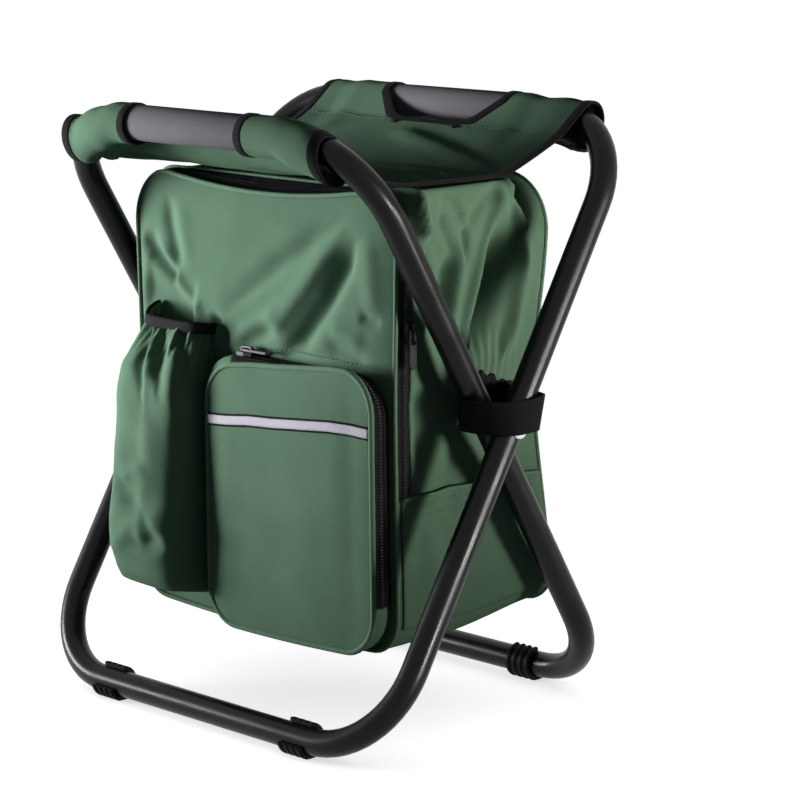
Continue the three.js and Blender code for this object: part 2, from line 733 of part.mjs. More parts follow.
// A zip slider that lies on Z = 0 with the zip along X, and its bail.
function sliderBody() {
  const end = SLIDER_LENGTH / 2;
  const wide = SLIDER_WIDTH / 2;
  const neck = wide * SLIDER_NECK;
  const base = extrude(
    polygon([
      [-end, -neck],
      [0, -wide],
      [end, -wide],
      [end, wide],
      [0, wide],
      [-end, neck],
    ]),
    SLIDER_HEIGHT,
  );
  const rise = SLIDER_HEIGHT + BAIL_RISE;
  const foot = end - BAIL_BAR;
  const bail = ribbon(
    [
      [-foot, SLIDER_HEIGHT - BAIL_BAR],
      [-foot, rise - 2 * BAIL_BAR],
      [-foot + BAIL_BAR, rise - BAIL_BAR / 2],
      [foot - BAIL_BAR, rise - BAIL_BAR / 2],
      [foot, rise - 2 * BAIL_BAR],
      [foot, SLIDER_HEIGHT - BAIL_BAR],
    ].map(([x, z]) => new THREE.Vector2(x, z)),
    BAIL_BAR,
  );
  return join(base, towardsFront(bail, BAIL_WIDTH / 2, BAIL_WIDTH));
}

// The pull lies along -X from its bar under the bail.
function sliderPull() {
  const bar = PULL_THICKNESS / 2;
  const wide = PULL_WIDTH / 2;
  const tip = PULL_AXIS + bar - PULL_LENGTH;
  const outline = polygon([
    [PULL_AXIS + bar, -wide],
    [PULL_AXIS + bar, wide],
    [tip + wide, wide],
    [tip, wide / 2],
    [tip, -wide / 2],
    [tip + wide, -wide],
  ]);
  const hole = polygon([
    [PULL_AXIS - bar, -PULL_HOLE_WIDTH / 2],
    [PULL_AXIS - bar, PULL_HOLE_WIDTH / 2],
    [PULL_AXIS - bar - PULL_HOLE_LENGTH, PULL_HOLE_WIDTH / 2],
    [PULL_AXIS - bar - PULL_HOLE_LENGTH, -PULL_HOLE_WIDTH / 2],
  ]);
  outline.holes.push(hole);
  return extrude(outline, PULL_THICKNESS).translate(0, 0, SLIDER_HEIGHT + 2 * GAP);
}

function addSliders() {
  const onSide = new THREE.Matrix4().makeBasis(Z, Y.clone().negate(), X);
  onSide.setPosition(SIDE, ZIP_Y, MAIN_SLIDER_Z);
  const onPocket = new THREE.Matrix4().makeRotationZ(Math.PI);
  onPocket.setPosition(POCKET_SLIDER_X, BAG_FRONT - POCKET_DEPTH / 2, POCKET_HIGH + GAP);
  const places = { main: onSide, pocket: onPocket };
  for (const [name, place] of Object.entries(places)) {
    add(`${name}_slider`, sliderBody().applyMatrix4(place), DARK_METAL);
    add(`${name}_pull`, sliderPull().applyMatrix4(place), DARK_METAL);
  }
}

function addFrameStraps() {
  const reach = FRAME_STRAP_HIGH * Math.tan(LEAN) + TUBE_RADIUS / Math.cos(LEAN);
  const near = SIDE + WEBBING / 2;
  const behind = INNER_HALF - TUBE_RADIUS;
  const between = INNER_HALF + TUBE_RADIUS + GAP;
  const rivet = OUTER_HALF + TUBE_RADIUS + GAP + RIVET_HEAD_HEIGHT;
  const far = rivet + STRAP_PLAY + WEBBING / 2;
  const line = [
    [near, FRAME_STRAP_TAB],
    [near, 0],
    [(near + behind) / 2, -1.9 * TUBE_RADIUS],
    [INNER_HALF - 0.65 * TUBE_RADIUS, -reach - 0.3 * TUBE_RADIUS],
    [between, -reach - 0.5 * TUBE_RADIUS],
    [far, -1.4 * TUBE_RADIUS],
    [far, reach + 0.15 * TUBE_RADIUS],
    [far - 0.75 * TUBE_RADIUS, reach + 0.8 * TUBE_RADIUS],
    [near, reach + 1.6 * TUBE_RADIUS],
    [near, reach + 1.6 * TUBE_RADIUS + FRAME_STRAP_TAB],
  ];
  const width = FRAME_STRAP_HIGH - FRAME_STRAP_LOW;
  for (const { name, sign } of SIDES) {
    const points = line.map(([x, y]) => new THREE.Vector2(sign * x, y));
    const loop = ribbon(sign > 0 ? points : points.reverse(), WEBBING);
    const strap = extrude(loop, width).translate(0, 0, PIVOT_Z + FRAME_STRAP_LOW);
    add(`frame_strap_${name}`, strap, BLACK_TAPE);
  }
}

function addShoulderStraps() {
  const onBack = new THREE.Matrix4().makeRotationX(BACK_TILT).multiply(ALONG_X);
  onBack.setPosition(0, BAG_BACK_BOTTOM, BAG_BOTTOM);
  const padLine = [];
  for (let step = 0; step <= PAD_STEPS; step++) {
    const along = step / PAD_STEPS;
    const out = 2 * GAP + PAD_THICKNESS / 2 + PAD_BOW * Math.sin(Math.PI * along);
    padLine.push(new THREE.Vector2(out, PAD_LOW + (PAD_HIGH - PAD_LOW) * along));
  }
  const pad = ribbon(padLine, PAD_THICKNESS);
  const adjusterHigh = PAD_LOW - PAD_THICKNESS;
  const adjusterLow = adjusterHigh - ADJUSTER_LENGTH;
  const tailHigh = adjusterHigh;
  const tail = polygon([
    [GAP, TAIL_LOW],
    [GAP + WEBBING, TAIL_LOW],
    [GAP + WEBBING, tailHigh],
    [GAP, tailHigh],
  ]);
  const slot = (ADJUSTER_LENGTH - 3 * ADJUSTER_BAR) / 2;
  const half = ADJUSTER_WIDTH / 2;
  const bars = [];
  for (let bar = 0; bar < 3; bar++) {
    const from = adjusterLow + bar * (ADJUSTER_BAR + slot);
    bars.push([-half, from, half, from + ADJUSTER_BAR]);
  }
  const rails = [-half, half - ADJUSTER_BAR].map((x) => [x, adjusterLow, x + ADJUSTER_BAR, adjusterHigh]);
  const out = 2 * GAP + WEBBING;
  for (const { name, sign } of SIDES) {
    const middle = sign * SHOULDER_X;
    const onStrap = (shape, width) =>
      extrude(shape, width).translate(0, 0, middle - width / 2).applyMatrix4(onBack);
    const pieces = [...bars, ...rails].map(([x0, low, x1, high]) =>
      block([out, low, middle + x0], [out + ADJUSTER_THICKNESS, high, middle + x1]),
    );
    add(`shoulder_pad_${name}`, onStrap(pad, PAD_WIDTH), BLACK_TAPE);
    add(`strap_tail_${name}`, onStrap(tail, TAIL_WIDTH), BLACK_TAPE);
    add(`strap_adjuster_${name}`, join(...pieces).applyMatrix4(onBack), NYLON);
  }
}

addFrames();
addPivots();
addFeet();
addSeat();
addBag();
addZipPocket();
addBottlePocket();
addSliders();
addFrameStraps();
addShoulderStraps();

export default stool;
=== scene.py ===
"""Looks of a folding cooler stool: a tube frame, a sling seat and an insulated bag.

Sizes are in millimetres, in the frame of the solids: X to the right as seen from the front,
the front faces -Y, Z is up, and the origin is on the floor under the pivots.
"""

from __future__ import annotations

import logging
import math
from dataclasses import dataclass
from enum import Enum
from typing import Callable, Iterable, Sequence

import bpy
import numpy as np
from mathutils import Matrix, Vector

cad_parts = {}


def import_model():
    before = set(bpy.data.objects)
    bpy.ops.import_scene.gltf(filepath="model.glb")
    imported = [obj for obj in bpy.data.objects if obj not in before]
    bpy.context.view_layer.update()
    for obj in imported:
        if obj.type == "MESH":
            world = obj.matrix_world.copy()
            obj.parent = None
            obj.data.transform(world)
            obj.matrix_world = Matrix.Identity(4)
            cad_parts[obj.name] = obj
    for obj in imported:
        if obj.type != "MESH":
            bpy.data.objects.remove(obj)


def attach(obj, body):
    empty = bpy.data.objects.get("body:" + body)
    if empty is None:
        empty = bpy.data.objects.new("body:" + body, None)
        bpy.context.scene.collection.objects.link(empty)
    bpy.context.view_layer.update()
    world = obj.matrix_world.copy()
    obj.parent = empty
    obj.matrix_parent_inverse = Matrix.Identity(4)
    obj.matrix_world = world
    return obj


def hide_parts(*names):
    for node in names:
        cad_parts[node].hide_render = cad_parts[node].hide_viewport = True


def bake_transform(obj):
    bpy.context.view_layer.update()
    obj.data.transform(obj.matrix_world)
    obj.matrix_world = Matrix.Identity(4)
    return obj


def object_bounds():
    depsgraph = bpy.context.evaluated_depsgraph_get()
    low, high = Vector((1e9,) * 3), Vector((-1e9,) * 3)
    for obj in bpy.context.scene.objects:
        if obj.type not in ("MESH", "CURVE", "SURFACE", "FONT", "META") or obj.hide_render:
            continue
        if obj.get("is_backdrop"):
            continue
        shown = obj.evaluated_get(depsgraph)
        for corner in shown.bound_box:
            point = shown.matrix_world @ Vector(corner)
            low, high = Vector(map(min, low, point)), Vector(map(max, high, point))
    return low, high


LOG = logging.getLogger("cooler_stool")
MM = 0.001
Array = np.ndarray
Piece = bpy.types.Object
Socket = bpy.types.NodeSocket
Surface = Callable[[Array, Array], Array]
Point2 = tuple[float, float]
Point3 = tuple[float, float, float]
Colour = tuple[float, float, float]
X_AXIS = np.array([1.0, 0.0, 0.0])
Y_AXIS = np.array([0.0, 1.0, 0.0])
Z_AXIS = np.array([0.0, 0.0, 1.0])
QUARTER = math.pi / 2
SIDES = (("left", -1), ("right", 1))


class Body(Enum):
    """The bodies that new pieces ride on."""

    OUTER = "outer_frame"
    INNER = "inner_frame"
    BAG = "bag"
    FLAP = "front_flap"


@dataclass(frozen=True)
class Bend:
    """Where cloth turns from one body to another."""

    first: Body
    second: Body
    start: Point3
    end: Point3


SEAT_BEND = Bend(Body.INNER, Body.OUTER, (0, -114.34, 390), (0, 114.34, 390))
FLAP_BEND = Bend(Body.BAG, Body.FLAP, (0, -61.4, 160), (0, -61.4, 215))


def ease(low: float, high: float, value: Array) -> Array:
    """Rises smoothly from 0 at low to 1 at high."""
    t = np.clip((value - low) / (high - low), 0.0, 1.0)
    return t * t * (3 - 2 * t)


def hump(value: Array, centre: float, width: float) -> Array:
    """A bell of height 1 round centre."""
    return np.exp(-(((value - centre) / width) ** 2))


def stack(*parts: Array | float) -> Array:
    """Joins coordinates, some of them plain numbers, into points."""
    return np.stack(np.broadcast_arrays(*[np.asarray(p, float) for p in parts]), axis=-1)


def unit(vectors: Array) -> Array:
    """Vectors of length 1."""
    return vectors / np.maximum(np.linalg.norm(vectors, axis=-1, keepdims=True), 1e-9)


def length_of(path: Array) -> float:
    """Length of a line along its points."""
    return np.linalg.norm(np.diff(path, axis=0), axis=1).sum()


@dataclass(frozen=True)
class Fold:
    """A crease in cloth: a line on the cloth, its half width and how far it stands out.

    A lean above 0 makes the side to the right of the line steeper.
    """

    line: tuple[Point2, ...]
    width: float
    height: float
    lean: float = 0.0
    taper: float = 0.3

    def rise(self, a: Array, b: Array) -> Array:
        """Height of the fold.

        Args:
            a: First coordinate of each point of the cloth.
            b: Second coordinate of each point.

        Returns:
            How far each point moves out.
        """
        points = np.asarray(self.line, float)
        steps = np.linalg.norm(np.diff(points, axis=0), axis=1)
        total, done = steps.sum(), 0.0
        best = np.full(a.shape, 1e9)
        side = np.zeros(a.shape)
        along = np.zeros(a.shape)
        for start, end, step in zip(points[:-1], points[1:], steps):
            way = (end - start) / step
            t = np.clip((a - start[0]) * way[0] + (b - start[1]) * way[1], 0, step)
            da, db = a - start[0] - way[0] * t, b - start[1] - way[1] * t
            away = np.hypot(da, db)
            near = away < best
            best = np.where(near, away, best)
            side = np.where(near, np.sign(way[1] * da - way[0] * db), side)
            along = np.where(near, (done + t) / total, along)
            done += step
        ends = ease(0, self.taper, along) * ease(0, self.taper, 1 - along)
        width = self.width * (1 - self.lean * side) * (0.55 + 0.45 * ends)
        return self.height * ends * np.exp(-((best / width) ** 2))


def fold_sum(folds: Iterable[Fold], a: Array, b: Array) -> Array:
    """Height of several folds together."""
    return sum((fold.rise(a, b) for fold in folds), np.zeros(np.shape(a)))


def crumple(a: Array, b: Array, size: float, seed: int) -> Array:
    """Soft random creases between about -1 and 1, the same on each run.

    Args:
        a: First coordinate on the cloth.
        b: Second coordinate on the cloth.
        size: Distance between creases.
        seed: Picks the pattern.

    Returns:
        Height at each point.
    """
    rng = np.random.default_rng(seed)
    full_turn, layers = 6.3, 5

    def wave(along: Array, pitch: float) -> Array:
        """A wave along the cloth, from a random start."""
        return np.sin(along / size * pitch + rng.uniform(0, full_turn))

    bend_a = wave(b, 1.1) + wave(a, 0.6)
    bend_b = wave(a, 0.9) + wave(b, 0.7)
    total = np.zeros(np.shape(a))
    for turn in rng.uniform(0, math.pi, layers):
        reach = size * rng.uniform(0.7, 1.5)
        over_a, over_b = a + 0.5 * size * bend_a, b + 0.5 * size * bend_b
        way = (over_a * math.cos(turn) + over_b * math.sin(turn)) / reach
        total += 1 - 2 * np.abs(np.sin(way * math.pi / 2 + rng.uniform(0, full_turn))) ** 0.8
    return total / layers


def circle(radius: float, sides: int) -> Array:
    """Points of a round profile."""
    angle = np.arange(sides) * 2 * math.pi / sides
    return radius * np.stack([np.cos(angle), np.sin(angle)], axis=1)


def slab(width: float, height: float, radius: float, steps: int = 3) -> Array:
    """A rectangular profile with rounded corners, round its middle.

    Args:
        width: Its first size.
        height: Its second size.
        radius: Of its corners.
        steps: Edges in each corner.

    Returns:
        Points of the closed profile.
    """
    corners = []
    for turn, (sx, sy) in enumerate([(1, 1), (-1, 1), (-1, -1), (1, -1)]):
        angle = (turn + np.linspace(0, 1, steps + 1)) * math.pi / 2
        centre = np.array([sx * (width / 2 - radius), sy * (height / 2 - radius)])
        corners.append(centre + radius * np.stack([np.cos(angle), np.sin(angle)], axis=1))
    return np.vstack(corners)


def resample(path: Sequence[Sequence[float]] | Array, count: int) -> Array:
    """Spaces a line's points evenly.

    Args:
        path: The line.
        count: How many points it gets.

    Returns:
        The same line with the new points.
    """
    points = np.asarray(path, float)
    reach = np.cumsum(np.linalg.norm(np.diff(points, axis=0), axis=1))
    reach = np.concatenate([[0], reach])
    at = np.linspace(0, reach[-1], count)
    return np.stack([np.interp(at, reach, column) for column in points.T], axis=1)


def rounded(path: Sequence[Sequence[float]] | Array, count: int, passes: int) -> Array:
    """Smooths a line's corners and keeps its ends.

    Args:
        path: The line.
        count: How many points it gets.
        passes: How often it is smoothed.

    Returns:
        The smoothed line.
    """
    points = resample(path, count)
    for _ in range(passes):
        points[1:-1] = (points[:-2] + 2 * points[1:-1] + points[2:]) / 4
    return points


def primitive(name: str, operator: Callable[..., object], **settings: object) -> Piece:
    """Adds a primitive with nothing else selected.

    Args:
        name: Name of the new object.
        operator: What adds it.
        **settings: What the operator takes.

    Returns:
        The new object.
    """
    bpy.ops.object.select_all(action="DESELECT")
    operator(**settings)
    obj = bpy.context.object
    obj.name = obj.data.name = name
    return obj


def pick(obj: Piece) -> None:
    """Selects one object alone and makes it the active one."""
    bpy.ops.object.select_all(action="DESELECT")
    obj.select_set(True)
    bpy.context.view_layer.objects.active = obj


def edit(obj: Piece, *steps: Callable[[], object]) -> Piece:
    """Runs edit-mode steps, with all of the mesh selected first.

    Args:
        obj: The object.
        *steps: What is done, in order.

    Returns:
        The same object.
    """
    pick(obj)
    bpy.ops.object.mode_set(mode="EDIT")
    bpy.ops.mesh.select_all(action="SELECT")
    for step in steps:
        step()
    bpy.ops.object.mode_set(mode="OBJECT")
    return obj


def points_of(obj: Piece) -> Array:
    """Reads a mesh's points."""
    flat = np.zeros(len(obj.data.vertices) * 3)
    obj.data.vertices.foreach_get("co", flat)
    return flat.reshape(-1, 3)


def move(obj: Piece, points: Array) -> None:
    """Puts a mesh's points at these places, in millimetres."""
    obj.data.vertices.foreach_set("co", (points * MM).astype(np.float32).ravel())
    obj.data.update()


def modify(obj: Piece, kind: str, **settings: object) -> Piece:
    """Adds a modifier and applies it.

    Args:
        obj: The object.
        kind: Blender's name for the modifier.
        **settings: What is set on it.

    Returns:
        The same object.
    """
    pick(obj)
    bpy.ops.object.modifier_add(type=kind)
    made = obj.modifiers[-1]
    for key, value in settings.items():
        setattr(made, key, value)
    bpy.ops.object.modifier_apply(modifier=made.name)
    return obj


def soften(obj: Piece, angle: float = 180.0) -> Piece:
    """Shades smooth, with an edge where faces meet at more than an angle.

    Args:
        obj: The object.
        angle: In degrees; 180 leaves no edge.

    Returns:
        The same object.
    """
    pick(obj)
    if angle >= 180:
        bpy.ops.object.shade_smooth()
    else:
        bpy.ops.object.shade_smooth_by_angle(angle=math.radians(angle))
    return obj


def settle(obj: Piece) -> Piece:
    """Applies an object's place, turn and scale to its mesh."""
    pick(obj)
    bpy.ops.object.transform_apply(location=True, rotation=True, scale=True)
    return obj


def sheet(name: str, columns: int, rows: int, surface: Surface, size: Point2) -> Piece:
    """A flat grid laid over a surface.

    Args:
        name: Name of the piece.
        columns: Faces along the first way.
        rows: Faces along the second way.
        surface: Gives points in millimetres from two coordinates of 0 to 1.
        size: The cloth's own width and length, for its weave.

    Returns:
        The new object.
    """
    obj = primitive(
        name, bpy.ops.mesh.primitive_grid_add,
        x_subdivisions=columns, y_subdivisions=rows, size=2,
    )
    flat = points_of(obj)
    move(obj, surface((flat[:, 0] + 1) / 2, (flat[:, 1] + 1) / 2))
    layer = obj.data.uv_layers[0].data
    uv = np.zeros(len(layer) * 2)
    layer.foreach_get("uv", uv)
    layer.foreach_set("uv", (uv.reshape(-1, 2) * np.asarray(size) * MM).ravel())
    return obj


def weld(obj: Piece) -> Piece:
    """Merges points that lie on each other."""
    return edit(obj, lambda: bpy.ops.mesh.remove_doubles(threshold=1e-5))


def turn_out(obj: Piece, outwards: Array, origin: Sequence[float] | None = None) -> Piece:
    """Turns an open sheet so that its faces look along a direction, or away from a point.

    Args:
        obj: The sheet.
        outwards: Direction to look along, if there is no origin.
        origin: Point in millimetres to look away from.

    Returns:
        The same object.
    """
    mesh = obj.data
    normals = np.zeros(len(mesh.polygons) * 3)
    centres = np.zeros(len(mesh.polygons) * 3)
    mesh.polygons.foreach_get("normal", normals)
    mesh.polygons.foreach_get("center", centres)
    way = np.asarray(outwards, float)
    if origin is not None:
        way = centres.reshape(-1, 3) - np.asarray(origin, float) * MM
    if (normals.reshape(-1, 3) * way).sum() < 0:
        edit(obj, bpy.ops.mesh.flip_normals)
    return obj


def thicken(obj: Piece, thickness: float, offset: float = -1.0) -> Piece:
    """Gives a sheet its thickness.

    Args:
        obj: The sheet.
        thickness: In millimetres.
        offset: -1 keeps its face and grows it inwards, 0 grows it both ways.

    Returns:
        The same object.
    """
    thickness *= MM
    return modify(
        obj, "SOLIDIFY", thickness=thickness, offset=offset, use_even_offset=False
    )


def frames(path: Array, up: Array, closed: bool = False) -> tuple[Array, Array]:
    """Directions square to a path.

    Args:
        path: Points along it.
        up: A direction out of it, at each point or for all.
        closed: Whether it ends where it starts.

    Returns:
        At each point, a direction across the path and one near to up.
    """
    if closed:
        way = unit(np.roll(path, -1, axis=0) - np.roll(path, 1, axis=0))
    else:
        way = unit(np.gradient(path, axis=0))
    across = unit(np.cross(way, up))
    return across, unit(np.cross(across, way))


def swept(
    name: str, path: Array, across: Array, out: Array, profile: Array, closed: bool = False
) -> Piece:
    """A closed profile carried along a path.

    Args:
        name: Name of the piece.
        path: Points along it.
        across: The profile's first direction, at each point or for all.
        out: The profile's second direction, at each point or for all.
        profile: Points of the closed profile.
        closed: Whether the path ends where it starts.

    Returns:
        The new object, with its ends filled.
    """
    lines = [path, np.broadcast_to(across, path.shape), np.broadcast_to(out, path.shape)]
    if closed:
        lines = [np.vstack([line, line[:1]]) for line in lines]
    path, across, out = lines
    ring = np.vstack([profile, profile[:1]])
    rows, columns = len(path) - 1, len(ring) - 1

    def surface(u: Array, v: Array) -> Array:
        """Points of the profile at each step of the path."""
        i, j = np.rint(v * rows).astype(int), np.rint(u * columns).astype(int)
        return path[i] + across[i] * ring[j, :1] + out[i] * ring[j, 1:]

    size = (length_of(ring), length_of(path))
    obj = weld(sheet(name, columns, rows, surface, size))
    edit(
        obj,
        lambda: bpy.ops.mesh.fill_holes(sides=0),
        lambda: bpy.ops.mesh.normals_make_consistent(inside=False),
    )
    return soften(obj, 50)


def strip(name: str, path: Array, up: Array, profile: Array) -> Piece:
    """A profile carried along an open path, upright to a direction."""
    return swept(name, path, *frames(path, up), profile)


def rope(name: str, path: Array, radius: float) -> Piece:
    """A closed round cord along a path, such as piping."""
    across, out = frames(path, Y_AXIS, True)
    return soften(swept(name, path, across, out, circle(radius, 10), True))


def copies(name: str, model: Piece, places: Array, axes: Array) -> Piece:
    """Many copies of one small shape in one mesh; the model is removed.

    Args:
        name: Name of the piece.
        model: The shape, round its own origin.
        places: Where each copy goes, in millimetres.
        axes: For each copy, its three directions.

    Returns:
        The new object.
    """
    shape = points_of(model)
    faces = [list(polygon.vertices) for polygon in model.data.polygons]
    points = np.einsum("pk,nkj->npj", shape, axes) + places[:, None, :] * MM
    starts = range(0, len(shape) * len(places), len(shape))
    mesh = bpy.data.meshes.new(name)
    mesh.from_pydata(
        points.reshape(-1, 3).tolist(),
        [],
        [[start + corner for corner in face] for start in starts for face in faces],
    )
    bpy.data.objects.remove(model)
    obj = bpy.data.objects.new(name, mesh)
    bpy.context.scene.collection.objects.link(obj)
    mesh.uv_layers.new(name="UVMap")
    return soften(obj)


class Nodes:
    """A node tree of a material or the world, with short calls to build it."""

    def __init__(self, owner: bpy.types.Material | bpy.types.World) -> None:
        """Takes the owner's tree."""
        owner.use_nodes = True
        self.tree = owner.node_tree
        self.shader = self.tree.nodes.get("Principled BSDF")

    def feed(self, socket: Socket, value: object) -> None:
        """Links another node's output to a socket, or sets a plain value on it.

        Args:
            socket: The socket.
            value: The output or value.
        """
        if isinstance(value, Socket):
            self.tree.links.new(value, socket)
        else:
            socket.default_value = value

    def add(
        self, kind: str, inputs: dict[str | int, object] | None = None, **settings: object
    ) -> bpy.types.Node:
        """Adds a node.

        Args:
            kind: Blender's name for it, without its first word.
            inputs: For its inputs, a value or another node's output.
            **settings: What is set on the node itself.

        Returns:
            The new node.
        """
        node = self.tree.nodes.new("ShaderNode" + kind)
        for key, value in settings.items():
            setattr(node, key, value)
        for key, value in (inputs or {}).items():
            self.feed(node.inputs[key], value)
        return node

    def set(self, **values: object) -> None:
        """Sets the shader's own sockets, named with underscores for spaces."""
        for key, value in values.items():
            self.feed(self.shader.inputs[key.replace("_", " ")], value)

    def place(self, space: str = "Object", scale: Point3 = (1, 1, 1)) -> Socket:
        """Texture coordinates, scaled."""
        source = self.add("TexCoord").outputs[space]
        return self.add("Mapping", {"Vector": source, "Scale": scale}).outputs["Vector"]

    def noise(self, where: Socket, scale: float, detail: float = 3) -> Socket:
        """A cloudy pattern."""
        inputs = {"Vector": where, "Scale": scale, "Detail": detail}
        return self.add("TexNoise", inputs).outputs["Fac"]

    def cells(self, where: Socket, scale: float, feature: str = "F1") -> Socket:
        """A pattern of cells: how far each place is from its cell's middle."""
        inputs = {"Vector": where, "Scale": scale}
        return self.add("TexVoronoi", inputs, feature=feature).outputs["Distance"]

    def math(self, kind: str, first: object, second: object) -> Socket:
        """Arithmetic on two values."""
        return self.add("Math", {0: first, 1: second}, operation=kind).outputs[0]

    def sum(self, first: Socket, share: float, second: Socket, other: float) -> Socket:
        """Two patterns, each by its share."""
        parts = (self.math("MULTIPLY", first, share), self.math("MULTIPLY", second, other))
        return self.math("ADD", *parts)

    def ramp(self, value: Socket, low: float, high: float, out: Point2) -> Socket:
        """A value from low to high mapped onto the out range."""
        inputs = {"Value": value, 1: low, 2: high, 3: out[0], 4: out[1]}
        return self.add("MapRange", inputs).outputs[0]

    def blend(self, share: Socket, first: Colour, second: Colour) -> Socket:
        """A colour between two colours."""
        inputs = {0: share, 6: (*first, 1), 7: (*second, 1)}
        return self.add("Mix", data_type="RGBA", inputs=inputs).outputs[2]

    def bump(self, height: Socket, strength: float, depth: float) -> None:
        """Relief, with its depth in millimetres."""
        inputs = {"Strength": strength, "Distance": depth * MM, "Height": height}
        self.set(Normal=self.add("Bump", inputs).outputs["Normal"])

    def seen(self) -> Socket:
        """Tells which rays see a white background.

        Returns:
            1 for rays from the camera, a mirror or glass.
        """
        path = self.add("LightPath").outputs
        total = path["Is Camera Ray"]
        for name in ("Is Glossy Ray", "Is Transmission Ray"):
            inputs = {0: total, 1: path[name]}
            either = self.add("Math", inputs, operation="MAXIMUM", use_clamp=True)
            total = either.outputs[0]
        return total


@dataclass(frozen=True)
class Finish:
    """What every finish has: a name, its record slot and its two colours."""

    name: str
    slot: str
    colour: Colour
    shade: Colour

    def make(self) -> bpy.types.Material:
        """Makes the material once.

        Returns:
            The material.
        """
        made = bpy.data.materials.get(self.name)
        if made is None:
            made = bpy.data.materials.new(self.name)
            self.dress(Nodes(made))
        return made

    def dress(self, nodes: Nodes) -> None:
        """Builds the node tree."""
        raise NotImplementedError


@dataclass(frozen=True)
class Woven(Finish):
    """Plain woven cloth: crossing yarns and slubs."""

    yarn: float = 0.62
    roughness: float = 0.72
    relief: float = 0.35
    depth: float = 0.35

    def dress(self, nodes: Nodes) -> None:
        """Lays yarns on the cloth's own map, with slow changes of tone over it.

        Args:
            nodes: The material's tree.
        """
        per_yarn = 1 / (self.yarn * MM)
        cells = nodes.place("UV", (per_yarn / 2, per_yarn / 2, 1))
        pick = nodes.add("TexChecker", {"Vector": cells, "Scale": 2.0}).outputs["Fac"]
        waves = [
            nodes.add(
                "TexWave", {"Vector": cells, "Scale": 1.0, "Distortion": 0.0},
                wave_type="BANDS", bands_direction=way, wave_profile="SIN",
            ).outputs["Fac"]
            for way in ("X", "Y")
        ]
        inputs = {0: pick, 2: waves[0], 3: waves[1]}
        weave = nodes.add("Mix", inputs, data_type="FLOAT").outputs[0]
        slub = nodes.noise(nodes.place("UV", (per_yarn * 0.08, per_yarn * 0.9, 1)), 1.0, 2)
        tone = nodes.noise(nodes.place(), 26.0, 4)
        share = nodes.math(
            "ADD",
            nodes.ramp(tone, 0.3, 0.7, (0.2, 0.62)),
            nodes.ramp(slub, 0.3, 0.7, (-0.12, 0.12)),
        )
        share = nodes.math("ADD", share, nodes.ramp(weave, 0.0, 1.0, (-0.22, 0.22)))
        gloss = (self.roughness - 0.06, self.roughness + 0.08)
        nodes.set(
            Base_Color=nodes.blend(share, self.shade, self.colour),
            Roughness=nodes.ramp(tone, 0.3, 0.7, gloss),
            Specular_IOR_Level=0.0,
        )
        height = nodes.math("ADD", weave, nodes.math("MULTIPLY", slub, 0.6))
        nodes.bump(height, self.relief, self.depth)


@dataclass(frozen=True)
class Ribbed(Finish):
    """Narrow woven tape or webbing, with ribs across or along it."""

    rib: float = 1.1
    along: bool = False
    roughness: float = 0.62
    depth: float = 0.4

    def dress(self, nodes: Nodes) -> None:
        """Lays ribs on the tape's own map.

        Args:
            nodes: The material's tree.
        """
        where = nodes.place("UV", (1 / (self.rib * MM), 1 / (self.rib * MM), 1))
        ribs = nodes.add(
            "TexWave", {"Vector": where, "Scale": 0.5, "Distortion": 0.6, "Detail": 1.0},
            wave_type="BANDS", bands_direction="X" if self.along else "Y",
        ).outputs["Fac"]
        fuzz = nodes.noise(nodes.place(), 900.0, 2)
        share = nodes.sum(ribs, 0.55, fuzz, 0.5)
        gloss = (self.roughness - 0.05, self.roughness + 0.12)
        nodes.set(
            Base_Color=nodes.blend(share, self.shade, self.colour),
            Roughness=nodes.ramp(fuzz, 0.3, 0.7, gloss),
            Specular_IOR_Level=0.03,
        )
        nodes.bump(share, 0.5, self.depth)


@dataclass(frozen=True)
class Coated(Finish):
    """A hard surface: paint, plated steel or moulded plastic, with rubbed spots."""

    metal: float = 0.0
    roughness: float = 0.35
    specular: float = 0.5
    grain: float = 420.0
    relief: float = 0.12
    depth: float = 0.15

    def dress(self, nodes: Nodes) -> None:
        """Gives it a fine orange peel and slow changes of gloss.

        Args:
            nodes: The material's tree.
        """
        where = nodes.place()
        rub = nodes.noise(where, 38.0, 5)
        share = nodes.ramp(rub, 0.35, 0.75, (0, 1))
        gloss = (self.roughness - 0.05, self.roughness + 0.09)
        nodes.set(
            Base_Color=nodes.blend(share, self.shade, self.colour),
            Metallic=self.metal,
            Roughness=nodes.ramp(rub, 0.3, 0.7, gloss),
            Specular_IOR_Level=self.specular,
        )
        nodes.bump(nodes.noise(where, self.grain, 3), self.relief, self.depth)


@dataclass(frozen=True)
class Cellular(Finish):
    """Closed-cell foam: a skin of tiny pores."""

    pores: float = 1100.0
    roughness: float = 0.42
    depth: float = 0.25

    def dress(self, nodes: Nodes) -> None:
        """Gives it pores and a faint cloudiness.

        Args:
            nodes: The material's tree.
        """
        where = nodes.place()
        pore = nodes.cells(where, self.pores)
        share = nodes.sum(pore, 0.45, nodes.noise(where, 55.0, 4), 0.6)
        nodes.set(
            Base_Color=nodes.blend(share, self.shade, self.colour),
            Roughness=self.roughness,
            Specular_IOR_Level=0.0,
        )
        nodes.bump(pore, 0.25, self.depth)


